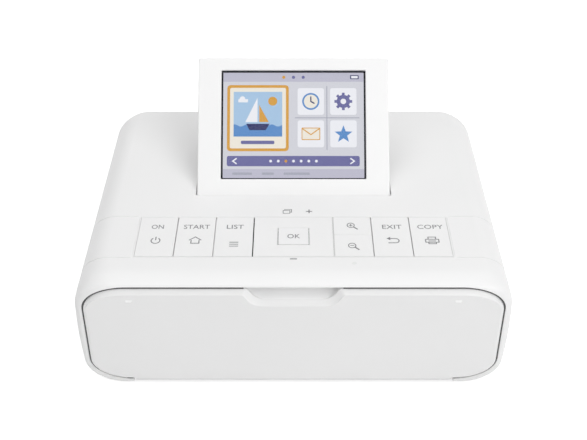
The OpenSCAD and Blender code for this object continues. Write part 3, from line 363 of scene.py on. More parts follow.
def case_form(inset):
    """Closed form of the case, drawn in by inset: sections along Y whose half width draws in by quarter
    rounds at the rim and the rear corners, whose top follows the sloping plane and falls along the
    shoulder's and the lip's arcs in front and a small round behind, and whose corners widen forwards."""
    front = RIM_Y + inset
    rear = REAR_Y - inset
    rim_r = RIM_R - inset
    corner_r = REAR_CORNER_R - inset
    near = np.concatenate([end_steps(rim_r, 9), [3.8, 4.8, 6, 7.2, 8.5, SHOULDER_LEN, 14, 20, 30, 42]])
    far = np.concatenate([end_steps(corner_r, 12), [16, 26, 36, 46]])
    loops = []
    for y in np.concatenate([front + near, rear - far[::-1]]):
        from_front = y - front
        from_rear = rear - y
        half_w = HALF_W - inset - drawn_in(from_front, rim_r) - drawn_in(from_rear, corner_r)
        low = UNDERSIDE + inset + drawn_in(from_front, 0.9) + drawn_in(from_rear, 2.0)
        plane = CASE_H - inset - (REAR_Y - y) * math.tan(TOP_SLOPE)
        shoulder = max(0.0, SHOULDER_LEN - from_front)
        fall = SHOULDER_R - math.sqrt(SHOULDER_R**2 - shoulder**2)
        lip = drawn_in(from_front, LIP_R) * 0.8
        high = plane - fall - lip - drawn_in(from_rear, REAR_EDGE_R - min(inset, 2.0))
        ahead = np.clip(1 - from_front / 34.0, 0, 1)**2
        swell = np.clip(1 - from_front / 50.0, 0, 1)**2
        corner = 12 - inset
        foot = 10 - inset
        loops.append(at_level(section(half_w, low, high, corner + 4 * ahead, corner - 1.5 * ahead,
                                      foot + 6 * ahead, foot + 2.5 * ahead, swell), 1, y))
    return skin("form", loops)


def cover_loop(inset):
    """Outline of the cover opening drawn in by inset, in X and Z: four quarters of ellipses."""
    upper = (OPENING_TOP - OPENING_CORNER_TOP, OPENING_CORNER_TOP)
    lower = (OPENING_LOW + OPENING_CORNER_LOW, OPENING_CORNER_LOW)
    loop = []
    for k, (side, (mid_z, tall)) in enumerate(((1, upper), (-1, upper), (-1, lower), (1, lower))):
        turn = quarter(15) + k * math.pi / 2
        loop.append(np.stack([side * CORNER_MID_X + (OPENING_CORNER_X - inset) * np.cos(turn),
                              mid_z + (tall - inset) * np.sin(turn)], -1))
    return np.concatenate(loop)


def opening_tools():
    """Tools for the cover opening: its outline carried along Y, flared at the rim, and a block below."""
    grow, left = flare_steps(0.25, 70)
    places = np.concatenate([[HINGE_CLEAR_Y], RIM_Y + left, [RIM_Y - 5]])
    hole = skin("tool", [at_level(cover_loop(-g), 1, y) for g, y in zip(grow, places)])
    reach = FOOT_HALF_W + COVER_GAP
    return [hole, box([-reach, -90, -5], [reach, HINGE_CLEAR_Y, SEAM_Z + 2])]


def hollow_case(name):
    shell = combine(case_form(0.0), [case_form(WALL)])
    shell.name = name
    return shell


def side_tool(y0, y1, z0, z1):
    """Flared cutting block through the right wall."""
    return flared_tool(y0, y1, z0, z1, 4.5, 0.35, lambda p: np.stack(
        [HALF_W + p[..., 2], p[..., 0], p[..., 1]], -1), corner=0.3)


def side_box(side, x0, x1, y, z, place=None):
    """Block between two distances from the middle, on the left (-1) or the right (1)."""
    reach = sorted([side * x0, side * x1])
    return box([reach[0], y[0], z[0]], [reach[1], y[1], z[1]], place)


def seam_tools():
    """Blades for the fine seams from the key row's edges to the sides: thin slabs less the case's form
    drawn in by a hair, so that they cut to one depth."""
    return [combine(side_box(side, KEY_ROW_HALF_W + 0.6, 95, (y - 0.13, y + 0.13), (-18, 4), on_top),
                    [case_form(0.16)])
            for y in (KEY_ROW_Y[0] - 0.1, KEY_ROW_Y[1] + 0.1) for side in (-1, 1)]


def upper_shell():
    """Case above the seam, with its screen well and its holes."""
    shell = hollow_case("upper_shell")
    tub = box([-WELL_HALF_W - WELL_WALL, WELL_Y[0] - WELL_WALL, -WELL_DEPTH - WELL_WALL],
              [WELL_HALF_W + WELL_WALL, WELL_Y[1] + WELL_WALL, -WALL / 2], on_top)
    combine(shell, [tub], "UNION")
    lamp = disc(LAMP_MID, LAMP_R)
    tools = [
        box([-FAR, -FAR, -20], [FAR, FAR, SEAM_Z + SEAM_GAP]),
        flared_tool(-WELL_HALF_W, WELL_HALF_W, *WELL_Y, WELL_DEPTH, 0.35, on_top, corner=1.0),
        flared_tool(-KEY_ROW_HALF_W, KEY_ROW_HALF_W, *KEY_ROW_Y, WALL + 1, 0.2, on_top, corner=0.5),
        skin("tool", on_top([at_level(lamp, 2, z) for z in (-WALL - 2, 1)])),
        side_tool(*DOOR_Y, *DOOR_Z)]
    tools += [side_tool(*socket) for socket in SOCKETS]
    tools.append(box([-REAR_OPENING_HALF_W, REAR_Y - WALL - 1, SEAM_Z - 3],
                     [REAR_OPENING_HALF_W, REAR_Y + 5, REAR_OPENING_TOP]))
    combine(shell, tools + opening_tools() + seam_tools())
    finish_piece(shell, "case_white", "case", ["top_cover"])


def ink_door():
    """Door in the right side: the case's own wall, a round barrel on its hinge and a finger dip."""
    door = hollow_case("ink_door_panel")
    low, high = DOOR_Z[0] + DOOR_GAP, DOOR_Z[1] - DOOR_GAP
    combine(door, [box([86.0, DOOR_Y[0] + DOOR_GAP, low], [99.0, DOOR_AXIS[1], high])], "INTERSECT")
    ends = [(v, 2.1 - d) for v, d in round_steps(0.4, 4)]
    places = sorted([(low + v, r) for v, r in ends] + [(high - v, r) for v, r in ends])
    combine(door, [skin("tool", [at_level(disc(DOOR_AXIS, r, 32), 2, z) for z, r in places])], "UNION")
    turn = np.linspace(-math.pi / 2, math.pi / 2, 13)
    dip = np.stack([HALF_W + 6.3 - 6.6 * np.cos(turn), 2.2 + 3.0 * np.sin(turn)], -1)
    combine(door, [skin("tool", [at_level(dip, 2, z) for z in (24.0, 36.0)])])
    finish_piece(door, "case_white", "side_door", ["ink_door"], bevel=0.15)


def lower_shell():
    """Case below the seam, with recesses for feet and screws, and ears that carry the cover's pins."""
    shell = hollow_case("lower_shell")
    ears = [skin("tool", [at_level(np.array(EAR_OUTLINE), 0, side * x)
                          for x in (EAR_MID - EAR_HALF_W, EAR_MID + EAR_HALF_W)]) for side in (-1, 1)]
    tools = [box([-FAR, -FAR, SEAM_Z - SEAM_GAP], [FAR, FAR, 90])] + opening_tools()
    for radius, high, x, y in ((6.0, 2.3, 70, 52), (3.0, 3.0, 54, 50), (1.45, 30, 54, 50)):
        for mid in ((-x, -y), (-x, y), (x, -y), (x, y)):
            tools.append(skin("tool", [at_level(disc(mid, radius, 40), 2, z) for z in (-1, high)]))
    combine(shell, tools)
    combine(shell, ears, "UNION")
    finish_piece(shell, "base_white", "case", ["base_cover"])


# Front cover

def cover_edge(side, top, low, foot, grow):
    """Edge of the cover as one loop in X and Z, drawn in by side, top, low and foot: quarters of
    ellipses at the corners, a foot that reaches below them, and in the top edge a notch, wider by
    grow, whose flanks are cubic Bezier curves, level at both ends."""
    high = OPENING_TOP - top
    turn = quarter(13)
    wide = OPENING_CORNER_X - side
    upper = np.stack([CORNER_MID_X + wide * np.cos(turn),
                      OPENING_TOP - OPENING_CORNER_TOP + (OPENING_CORNER_TOP - top) * np.sin(turn)], -1)
    flat = np.stack([np.linspace(CORNER_MID_X, NOTCH_HALF_TOP + grow, 8)[1:-1], np.full(6, high)], -1)
    bend = np.array([[NOTCH_HALF_TOP, 0.0], [NOTCH_HALF_TOP - 3.2, 0.0], [NOTCH_HALF_TOP - 1.8, -NOTCH_DEPTH],
                     [NOTCH_HALF_FLOOR, -NOTCH_DEPTH]]) + [grow, high]
    ramp = bezier(np.linspace(0, 1, 17)[:, None], *bend)
    floor = np.stack([np.linspace(NOTCH_HALF_FLOOR + grow, 0, 5)[1:], np.full(4, high - NOTCH_DEPTH)], -1)
    foot_z = FOOT_Z + foot
    rise = OPENING_LOW + LOW_GAP + low - foot_z
    down = [[FOOT_HALF_W + x, foot_z + part * rise] for x, part in (
        (-FOOT_HALF_W, 0), (-FOOT_HALF_W / 2, 0), (-0.6, 0), (-0.15, 0.1), (0, 0.4), (0.1, 0.8), (0.4, 1))]
    lower = np.stack([CORNER_MID_X + wide * np.sin(turn), OPENING_LOW + OPENING_CORNER_LOW
                      - (OPENING_CORNER_LOW - LOW_GAP - low) * np.cos(turn)], -1)
    right = np.concatenate([down, lower, upper, flat, ramp, floor])
    return np.concatenate([right, right[-2:0:-1] * [-1, 1]])


def front_cover():
    """Cover with a flat face, a sloping band and a rounded edge round it, a side wall and a low rib round
    its back, all steps of one loop. The foot lies behind an undercut below the face."""
    outer = cover_edge(COVER_GAP, COVER_GAP, 0.0, 0.0, 0.0)
    rise = np.clip((outer[:, 1] - 43.5) / 4.5, 0, 1)
    deep = 0.6 + 1.4 * rise * rise * (3 - 2 * rise)
    on_foot = (outer[:, 1] < OPENING_LOW + LOW_GAP - 0.05) & (np.abs(outer[:, 0]) < FOOT_HALF_W + 0.2)
    # Each step: share of the band, share of its depth, draw-in of the foot, its depth, a rounding
    steps = [(1.0, 0.0, 2.45, 0.0, 0.0), (0.96, 0.05, 2.35, 0.12, 0.0), (0.85, 0.2, 2.3, 1.62, 0.0),
             (0.55, 0.45, 1.45, 1.65, 0.0)]
    steps += [(0.12 * (1 - math.sin(a)), 0.8, 0.4 * (1 - math.sin(a)), 1.65, 0.45 * (1 - math.cos(a)))
              for a in quarter(9)]
    rings = []
    for share, part, foot, back, more in steps:
        loop = cover_edge(COVER_GAP + 1.1 * share, COVER_GAP + 2.2 * share, 0.9 * share, foot, 1.6 * share)
        rings.append(at_level(loop, 1, COVER_FACE_Y + np.where(on_foot, back, deep * part) + more))
    rings.append(at_level(outer, 1, COVER_BACK_Y - 0.3))
    for draw, y in ((0.3, 0.0), (2.4, 0.0), (2.5, 1.5), (3.6, 1.5), (3.7, 0.0)):
        loop = cover_edge(COVER_GAP + draw, COVER_GAP + draw, draw, draw, 0.8 * draw)
        rings.append(at_level(loop, 1, COVER_BACK_Y + y))
    cover = skin("front_cover_shell", rings)
    combine(cover, [side_box(side, EAR_MID - 1.1, EAR_MID + 1.1, (COVER_FACE_Y + 0.75, COVER_BACK_Y + 3), (-1, 8.9))
                    for side in (-1, 1)])
    finish_piece(cover, "cover_white", "cover", ["front_cover"], angle=11.0)


def finger_scoop():
    """Bowl behind the notch: its section is a cubic Bezier curve that starts on a gentle slope and ends
    upright, and it closes in towards its two ends along a quarter of an ellipse."""
    x = 20.6 * np.sin(np.linspace(-1, 1, 57) * math.pi / 2)
    close = np.sqrt(np.clip(1 - (np.clip(np.abs(x) - 11.5, 0, None) / 9.1)**2, 0, 1))
    t = np.linspace(0, 1, 19)[:, None]
    reach = bezier(t, 0.0, 1.2, 6.0, 5.8)
    lift = bezier(t, 0.0, 0.95, 2.5, 5.5)
    y = COVER_BACK_Y - 1.0 + reach * (0.06 + 0.94 * close)
    z = OPENING_TOP - COVER_GAP - NOTCH_DEPTH - 0.35 + lift + (1 - close) * (5.2 - lift) * 0.7
    bowl = skin("finger_scoop", np.stack([np.broadcast_to(x, y.shape), y, z], -1), around=False, caps=False)
    thick = bowl.modifiers.new("wall", "SOLIDIFY")
    thick.thickness = 0.7 * MM
    thick.offset = 0.0
    bake(bowl)
    # The bowl takes the lighter bezel white in place of the cover's own white: painted light that lifts the shade
    # under the case's lip
    finish_piece(bowl, "bezel_white", "cover", angle=50.0)


def gap_ring(name, low_draw, high_draw, y0, y1):
    """Flat ring in the gap between two draw-ins of the opening's outline."""
    corners = ((low_draw, y0), (high_draw, y0), (high_draw, y1), (low_draw, y1))
    return skin(name, [at_level(cover_loop(draw), 1, RIM_Y + y) for draw, y in corners], along=True, caps=False)


def gap_shade_rings():
    """Painted shade in the gap round the cover: dark rings that stand for the gap's shade, left out behind the notch.
    At the lower corners the ring of painted shade rides on the cover."""
    # The dark frame material on these rings is painted shade that darkens the gap line
    lip = gap_ring("gap_lip", 0.03, 0.58, 0.2, 1.0)
    combine(lip, [box([-FAR, -90, -5], [FAR, -50, 9.0]), box([-NOTCH_HALF_TOP, -90, 40], [NOTCH_HALF_TOP, -50, 60])])
    finish_piece(lip, "frame_dark", "case")
    # The same painted shade by the ears, and at the lower corners on the cover
    for name, side in (("left", -1), ("right", 1)):
        for part, body, ring, x0, x1 in (
                ("_ear_lip", "case", (0.03, 0.45, 0.2, 1.0), FOOT_HALF_W + COVER_GAP, 72.35),
                ("_corner_shade_ring", "cover", (0.32, 1.6, 0.6, 1.3), 72.45, 99.0)):
            piece = gap_ring(name + part, *ring)
            combine(piece, [side_box(side, x0, x1, (-90, -50), (-5, 8.9))], "INTERSECT")
            finish_piece(piece, "frame_dark", body)


def cover_dashes():
    """Two raised dashes on the cover: wedges on a rounded rectangle, highest along their lower edge."""
    low, high = DASH_Z
    for name, mid in (("left_dash", -DASH_MID_X), ("right_dash", DASH_MID_X)):
        rings = []
        for d, sunk, slope in ((0.0, 0.2, 0.0), (0.0, 0.0, 0.0), (0.1, 0.0, 0.85)):
            loop = rounded_loop(mid - 1.4 + d, mid + 1.4 - d, low + d, high - d, 0.35 - d)
            rings.append(at_level(loop, 1, COVER_FACE_Y + 0.03 + sunk - slope * (high - loop[:, 1])))
        # The dashes take the lighter bezel white in place of the cover's own white: a painted highlight
        finish_piece(skin(name, rings), "bezel_white", "cover", angle=70.0)


# Screen panel

def panel_rings(rings):
    """Loops across the panel as (loop, height out of its face), set on the panel."""
    return [in_panel(at_level(loop, 2, v)) for loop, v in rings]


def panel_loop(d, low, corner):
    """The panel's outline from its lower edge, drawn in by d."""
    return rounded_loop(d - PANEL_HALF_W, PANEL_HALF_W - d, low + d, PANEL_LEN - d, corner)


def window_loop(d, corner):
    """The window's outline, drawn out by d."""
    return rounded_loop(-WINDOW_HALF_W - d, WINDOW_HALF_W + d, WINDOW_U[0] - d, WINDOW_U[1] + d, corner)


def screen_frame():
    """Front frame of the panel: loops up the outer side, over the rounded edge, across the face, over
    the window's rounded edge and down to the ledge."""
    rings = [(panel_loop(0.0, -1.0, 1.1), PANEL_SPLIT)]
    rings += [(panel_loop(d, -1.0, 1.1 - 0.5 * d), PANEL_FACE - v) for d, v in round_steps(PANEL_EDGE_R)]
    rings += [(window_loop(d, 0.5 + d), PANEL_FACE - v) for v, d in round_steps(0.45)]
    rings.append((window_loop(0.0, 0.5), PANEL_SPLIT))
    piece = skin("screen_frame", panel_rings(rings), along=True, caps=False)
    finish_piece(piece, "bezel_white", "screen", ["screen_bezel"], angle=40.0)


def hinge_barrel():
    """Rounded lower edge of the panel: a bar along X with rounded ends."""
    places = [(v - PANEL_HALF_W, BARREL_R - d) for v, d in round_steps(PANEL_EDGE_R)]
    places += [(-x, r) for x, r in places[::-1]]
    bar = skin("hinge_barrel", in_panel([at_level(disc((0, 0), r, 40), 0, x) for x, r in places]))
    finish_piece(bar, "bezel_white", "screen", angle=40.0)


def screen_tray():
    """Rear tray of the panel: a block with a fine groove under the frame, rounded rear edges, and a
    shallow panel let into its back."""
    low = 3.2
    base = PANEL_SPLIT - 6.5
    rings = [(panel_loop(d, low, r), PANEL_SPLIT - v)
             for d, r, v in ((0.35, 0.8, 0.02), (0.35, 0.8, 0.3), (0, 1.1, 0.55))]
    rings += [(panel_loop(d, low, 1.6 - 0.3 * d), base + v) for d, v in round_steps(1.5)]
    rings += [(panel_loop(5.0, low, 2.0), base), (panel_loop(5.3, low, 1.8), base + 0.35)]
    finish_piece(skin("screen_tray", panel_rings(rings)), "tray_white", "screen", ["screen_back"], angle=35.0)


def window_plate(name, low, high, slot, node):
    """Thin plate that fills the window between two heights."""
    loop = window_loop(-0.05, 0.4)
    finish_piece(skin(name, panel_rings([(loop, low), (loop, high)])), slot, "screen", [node])


# Picture on the display, keys and print

def ring_shape(mid, r_out, r_in, a0=0.0, a1=359.5):
    """Ring or part of one, as one outline out along the outer radius and back along the inner one."""
    turn = np.radians(np.linspace(a0, a1, 29))
    arc = np.stack([np.cos(turn), np.sin(turn)], -1)
    return np.array(mid) + np.concatenate([r_out * arc, (r_in * arc)[::-1]])


def stroke(path, width):
    """Outline of a pen stroke: the path moved out by half the width along the mean normal at each point,
    and back on the other side."""
    path = np.array(path, float)
    way = np.diff(path, axis=0)
    way /= np.linalg.norm(way, axis=1)[:, None]
    side = np.stack([-way[:, 1], way[:, 0]], -1)
    mean = np.concatenate([side[:1], side[:-1] + side[1:], side[-1:]])
    mean /= np.linalg.norm(mean, axis=1)[:, None]
    slant = np.concatenate([[1.0], np.clip((side[:-1] * mean[1:-1]).sum(1), 0.5, 1.0), [1.0]])
    shift = mean * (width / 2 / slant)[:, None]
    return np.concatenate([path + shift, (path - shift)[::-1]])


def loop_line(points, width):
    """Pen stroke round a closed path, left open by a hair at its start."""
    points = np.array(points, float)
    return stroke(np.vstack([points, points[0] + (points[-1] - points[0]) * 0.004]), width)


def picture_rows():
    """Shapes of the picture as (colour name, layer, outline). Later layers lie on top."""
    rows = []

    def put(color, layer, outline):
        rows.append((color, layer, np.asarray(outline, float)))

    def rect(color, layer, x0, x1, u0, u1, r=0.1, steps=2):
        put(color, layer, rounded_loop(x0, x1, u0, u1, r, steps))

    rect("ground", 0, -32.45, 32.45, 8.15, 57.45, 0.25)
    rect("lilac", 1, -32.4, 32.4, 8.2, 12.3)
    rect("lilac", 1, -32.4, 32.4, 53.2, 57.4)
    for k in range(3):
        put("slate" if k else "orange", 2, disc((4.5 * k - 4.5, 55.3), 0.75))
    rect("navy", 2, 26.2, 30.2, 54.4, 56.3, 0.3)
    rect("white", 3, 26.7, 29.7, 54.8, 55.9)
    # Large tile with a boat
    rect("orange", 1, -30.6, -2.2, 20.6, 51.6, 1.4)
    rect("cream", 2, -29.3, -3.5, 21.9, 50.3, 0.7)
    rect("sky", 3, -27.6, -5.2, 27.4, 48.4, 0.3)
    put("orange", 4, disc((-9.6, 44.0), 2.1))
    put("white", 4, stroke([(-25.5, 44.2), (-21.0, 44.2)], 1.5))
    put("white", 4, disc((-23.6, 45.0), 1.3))
    wave = np.linspace(-27.6, -5.2, 41)
    water = np.stack([wave, 32.6 + 0.5 * np.sin(wave * 1.1)], -1)
    put("blue", 4, np.concatenate([water, [[-5.2, 27.4], [-27.6, 27.4]]]))
    put("navy", 5, [(-21.8, 33.4), (-20.3, 30.4), (-12.8, 30.4), (-11.0, 33.4)])
    put("white", 5, [(-16.6, 34.2), (-16.6, 45.6), (-22.2, 34.2)])
    put("orange", 5, [(-15.8, 34.2), (-11.4, 34.2), (-15.8, 42.2)])
    rect("slate", 3, -24.2, -8.8, 23.9, 25.5, 0.5)
    # Dividers and small tiles with a clock, a cog, an envelope and a star
    rect("line", 1, 0.6, 30.4, 36.0, 36.4)
    rect("line", 1, 15.2, 15.6, 21.2, 51.2)
    tiles = [(8.0, 43.9), (23.0, 43.9), (8.0, 28.7), (23.0, 28.7)]
    for x, u in tiles:
        rect("white", 2, x - 6.1, x + 6.1, u - 6.3, u + 6.3, 1.0, 3)
    clock, cog, envelope, star = tiles
    put("blue", 3, ring_shape(clock, 4.0, 3.2))
    put("cream", 3, disc(clock, 3.2))
    put("navy", 4, stroke(np.array([(0, 2.3), (0, 0), (1.7, -1.0)]) + clock, 0.6))
    for angle in np.arange(8) * math.pi / 4:
        way = np.array([math.cos(angle), math.sin(angle)])
        put("slate", 3, stroke([cog + 2.4 * way, cog + 4.1 * way], 1.3))
    put("slate", 4, ring_shape(cog, 3.1, 1.3))
    x, u = envelope
    rect("orange", 3, x - 4.3, x + 4.3, u - 2.9, u + 2.9, 0.4)
    rect("cream", 4, x - 3.9, x + 3.9, u - 2.5, u + 2.5, 0.2)
    put("orange", 5, stroke([(x - 3.9, u + 2.4), (x, u - 0.4), (x + 3.9, u + 2.4)], 0.5))
    point = np.arange(10)
    turn = np.radians(90 + 36 * point)
    size = np.where(point % 2, 1.8, 4.3)[:, None]
    put("blue", 3, np.array(star) - [0, 0.3] + size * np.stack([np.cos(turn), np.sin(turn)], -1))
    # Bar with arrow heads and dots, and short lines below it
    rect("slate", 1, -30.6, 30.4, 13.6, 18.4, 0.8)
    for side in (-1, 1):
        put("white", 2, stroke([(26.1 * side, 17.3), (27.9 * side, 16.0), (26.1 * side, 14.7)], 0.6))
    for k in range(7):
        put("orange" if k == 2 else "white", 2, disc((3.5 * k - 10.5, 16.0), 0.65, 16))
    for x, wide in ((-28.0, 9.0), (-14.5, 5.5), (-4.5, 12.0)):
        rect("line", 2, x, x + wide, 9.6, 10.7, 0.3)
    return rows


def thin_solids(name, rows, place):
    """Flat closed solids: each row is an outline with its lower and upper height."""
    points = []
    faces = []
    for outline, low, high in rows:
        count = len(outline)
        lower = list(range(len(points), len(points) + count))
        upper = [k + count for k in lower]
        for height in (low, high):
            points += place(at_level(outline, 2, height)).tolist()
        faces += [lower[::-1], upper]
        faces += [[lower[k], lower[k - 1], upper[k - 1], upper[k]] for k in range(count)]
    return raw_object(name, make_mesh(name, points, faces))


def display_picture():
    """The picture's shapes as thin solids, one lit piece for each colour."""
    for color, code in PICTURE_COLORS.items():
        rows = [(outline, PICTURE_V + layer * PICTURE_STEP - 0.02, PICTURE_V + (layer + 1) * PICTURE_STEP)
                for name, layer, outline in picture_rows() if name == color]
        piece = thin_solids("picture_" + color, rows, in_panel)
        finish_piece(piece, "display_lit", "screen", angle=20.0, material=lit("lit_" + color, code))


def key_lips():
    """Narrow lips that fill most of the gaps round the keys."""
    x0 = KEY_ROW_HALF_W - 0.02
    y0, y1 = KEY_ROW_Y[0] + 0.02, KEY_ROW_Y[1] - 0.02
    along = (y0 + 0.4, y1 - 0.4)
    mid = KEY_MID_Y
    # Name, body, lowest and highest x, lowest and highest y, and height
    for name, body, a, b, c, d, top in (
            ("row_rear", "case", -x0, x0, y1 - 0.36, y1, -0.07),
            ("row_front", "case", -x0, x0, y0, y0 + 0.38, -0.03),
            ("row_left", "case", -x0, 0.58 - x0, *along, -0.03),
            ("row_right", "case", x0 - 0.58, x0, *along, -0.02),
            ("ok_rear", "pad", -6.8, 6.8, mid + 5.68, mid + 5.94, -0.05),
            ("ok_front", "pad", -6.8, 6.8, mid - 5.94, mid - 5.68, -0.08),
            ("ok_left", "pad", -6.88, -6.72, mid - 5.6, mid + 5.6, -0.35),
            ("ok_right", "pad", 6.72, 6.88, mid - 5.6, mid + 5.6, -0.15),
            ("zoom", "zoom_in", 17.6, 33.4, mid + 0.79, mid + 1.19, -0.06),
            ("power_side", "power", -50.52, -50.28, *along, -0.9),
            ("home_side", "home", -33.95, -33.65, *along, -0.8),
            ("zoom_in_side", "case", 17.07, 17.37, *along, -0.3),
            ("zoom_back", "case", 33.68, 33.92, *along, -0.9),
            ("back_side", "back", 50.28, 50.52, *along, -0.9)):
        rows = [(np.array([(a, c), (b, c), (b, d), (a, d)]), top - 1.0, top)]
        finish_piece(thin_solids(name + "_lip", rows, on_top), "case_white" if body == "case" else "key_white",
                     body, material=LOOK["case_white"])


def print_word(name, word, mid, body, slot="key_white", lift=0.0, wide=0.96):
    """Short word printed flat about a middle."""
    data = bpy.data.curves.new("word", "FONT")
    data.body = word
    data.size = WORD_HEIGHT * 1.37
    data.align_x = "CENTER"
    data.extrude = 0.02
    data.offset = 0.012
    data.resolution_u = 3
    thing = raw_object("word", data)
    mesh = new_mesh_of(thing)
    points = np.zeros(len(mesh.vertices) * 3)
    mesh.vertices.foreach_get("co", points)
    faces = [list(face.vertices) for face in mesh.polygons]
    bpy.data.objects.remove(thing)
    bpy.data.meshes.remove(mesh)
    points = points.reshape(-1, 3) * [WORD_STRETCH * wide, 1, 0.5] + [mid[0], mid[1] - WORD_HEIGHT / 2, 0.012 + lift]
    finish_piece(raw_object(name, make_mesh(name, on_top(points), faces)), slot, body, material=INK)


def print_sign(name, mid, lines, body, slot="key_white"):
    """Symbol printed about a middle: each line is a path for the usual pen, or a finished outline."""
    rows = [((line if isinstance(line, np.ndarray) else stroke(line, PEN)) + mid, -0.01, 0.025) for line in lines]
    finish_piece(thin_solids(name, rows, on_top), slot, body, material=INK)


def legends():
    """Words and symbols printed on the keys and beside the pad, as thin raised ink."""
    for body, word, wide in (("power", "ON", 0.8), ("home", "START", 0.88), ("menu", "LIST", 0.96),
                             ("back", "EXIT", 0.96), ("print", "COPY", 0.96)):
        print_word(body + "_word", word, (KEY_X[body], -29.9), body, wide=wide)
    print_word("ok_word", "OK", (0.0, KEY_MID_Y), "ok", slot="ok_key_grey", lift=0.2, wide=0.85)
    print_sign("power_sign", (KEY_X["power"], SIGN_Y), [
        ring_shape((0, -0.2), 2.1, 2.1 - PEN, 125, 415), [(0, 0.1), (0, 2.4)]], "power")
    print_sign("house_sign", (KEY_X["home"], SIGN_Y), [
        [(-2.6, 0.1), (0, 2.3), (2.6, 0.1)], [(-1.7, 0.2), (-1.7, -2.0), (1.7, -2.0), (1.7, 0.2)]], "home")
    print_sign("list_sign", (KEY_X["menu"], SIGN_Y - 2.6), [[(-1.9, y), (1.9, y)] for y in (1.3, 0.0, -1.3)], "menu")
    glass = [ring_shape((0, 0), 1.75, 1.35), stroke([(1.2, -1.2), (2.9, -2.8)], 0.62),
             stroke([(-0.85, 0), (0.85, 0)], 0.4)]
    print_sign("zoom_in_sign", (24.9, -28.9), glass + [stroke([(0, -0.85), (0, 0.85)], 0.4)], "zoom_in")
    print_sign("zoom_out_sign", (24.9, -42.8), glass, "zoom_out")
    bend = [(1.0 + 1.45 * math.cos(a), 1.45 * math.sin(a) - 0.25) for a in np.radians(np.arange(-75, 91, 15))]
    print_sign("return_sign", (KEY_X["back"], SIGN_Y), [
        [(-2.2, -1.7), (1.0, -1.7)] + bend + [(-1.4, 1.2)], np.array([(-2.8, 1.2), (-1.2, 2.3), (-1.2, 0.1)])], "back")
    print_sign("printer_sign", (KEY_X["print"], SIGN_Y), [
        [(-1.6, 0.7), (-1.6, 2.2), (1.6, 2.2), (1.6, 0.7)],
        loop_line([(-2.8, 0.7), (2.8, 0.7), (2.8, -1.3), (-2.8, -1.3)], PEN),
        [(-1.6, -0.4), (1.6, -0.4)], [(-1.6, -1.3), (-1.6, -2.3), (1.6, -2.3), (1.6, -1.3)]], "print")
    print_sign("more_sheets", (0, -18.9), [
        loop_line([(-4.6, -1.4), (-1.6, -1.4), (-1.6, 0.6), (-4.6, 0.6)], 0.34),
        stroke([(-3.9, 0.9), (-3.9, 1.4), (-0.9, 1.4), (-0.9, -0.6), (-1.3, -0.6)], 0.34),
        stroke([(5.5, 0), (8.3, 0)], 0.5), stroke([(6.9, -1.3), (6.9, 1.3)], 0.5)], "case", "case_white")
    print_sign("fewer_sheets", (0, -51.6), [stroke([(-1.45, 0), (1.45, 0)], 0.62)], "case", "case_white")


# Materials

def add(tree, kind, settings=None, **values):
    """New shader node in a tree, with its settings and the values of its inputs."""
    node = tree.nodes.new("ShaderNode" + kind)
    for label, value in (settings or {}).items():
        setattr(node, label, value)
    for label, value in values.items():
        node.inputs[label.replace("_", " ")].default_value = value
    return node


def wire(tree, made, links):
    """Links between the nodes in made, each written as node.output>node.input by name or number."""
    for link in links.split():
        (source, output), (target, entry) = [end.replace("_", " ").split(".") for end in link.split(">")]
        tree.links.new(made[source].outputs[int(output) if output.isdigit() else output],
                       made[target].inputs[int(entry) if entry.isdigit() else entry])


def pattern_group(name, numbers, outputs, nodes, links):
    """Shader group of nodes given by key as (kind, settings, values). The keys start, out, whole and
    place are its two ends, Object coordinates, and those multiplied by its one number or its three."""
    group = bpy.data.node_groups.new(name, "ShaderNodeTree")
    for label in numbers:
        group.interface.new_socket(label, in_out="INPUT", socket_type="NodeSocketFloat").default_value = 1.0
    for label in outputs:
        group.interface.new_socket(label, in_out="OUTPUT", socket_type="NodeSocketFloat")
    made = {"start": group.nodes.new("NodeGroupInput"), "out": group.nodes.new("NodeGroupOutput"),
            "whole": add(group, "TexCoord"), "place": add(group, "VectorMath", {"operation": "MULTIPLY"})}
    wire(group, made, "whole.Object>place.0")
    if len(numbers) == 3:
        made["sides"] = add(group, "CombineXYZ")
        wire(group, made, "start.0>sides.X start.1>sides.Y start.2>sides.Z sides.0>place.1")
    else:
        wire(group, made, "start.0>place.1")
    for key, (kind, settings, values) in nodes.items():
        made[key] = add(group, kind, settings, **values)
    wire(group, made, links)
    return group


# Moulded plastic: a fine cloudy height for its skin, and a faint slow mottle for its tone
GRAIN = pattern_group("moulded_grain", ["Scale"], ["Height", "Mottle"], {
    "fine": ("TexNoise", {}, {"Scale": 3800.0, "Detail": 3.0}),
    "slow": ("TexNoise", {}, {"Scale": 26.0, "Detail": 4.0})},
    "place.0>fine.Vector place.0>slow.Vector fine.Fac>out.Height slow.Fac>out.Mottle")
# Metal drawn or ground one way: a stretched noise for the fine streaks, and a slow cloud of tarnish
DRAWN = pattern_group("drawn_metal", ["Stretch X", "Stretch Y", "Stretch Z"], ["Height", "Cloud"], {
    "streak": ("TexNoise", {}, {"Scale": 900.0, "Detail": 4.0}),
    "cloud": ("TexNoise", {}, {"Scale": 40.0, "Detail": 5.0})},
    "place.0>streak.Vector whole.Object>cloud.Vector streak.Fac>out.Height cloud.Fac>out.Cloud")
# Rubber: close pits as height, and pale specks of dust where a noise runs high
RUBBER = pattern_group("rubber_skin", ["Scale"], ["Height", "Dust"], {
    "pits": ("TexVoronoi", {}, {"Scale": 2200.0}),
    "dust": ("TexNoise", {}, {"Scale": 500.0, "Detail": 6.0}),
    "high": ("MapRange", {}, {"From_Min": 0.56, "From_Max": 0.72})},
    "place.0>pits.Vector place.0>dust.Vector dust.Fac>high.Value pits.Distance>out.Height high.Result>out.Dust")
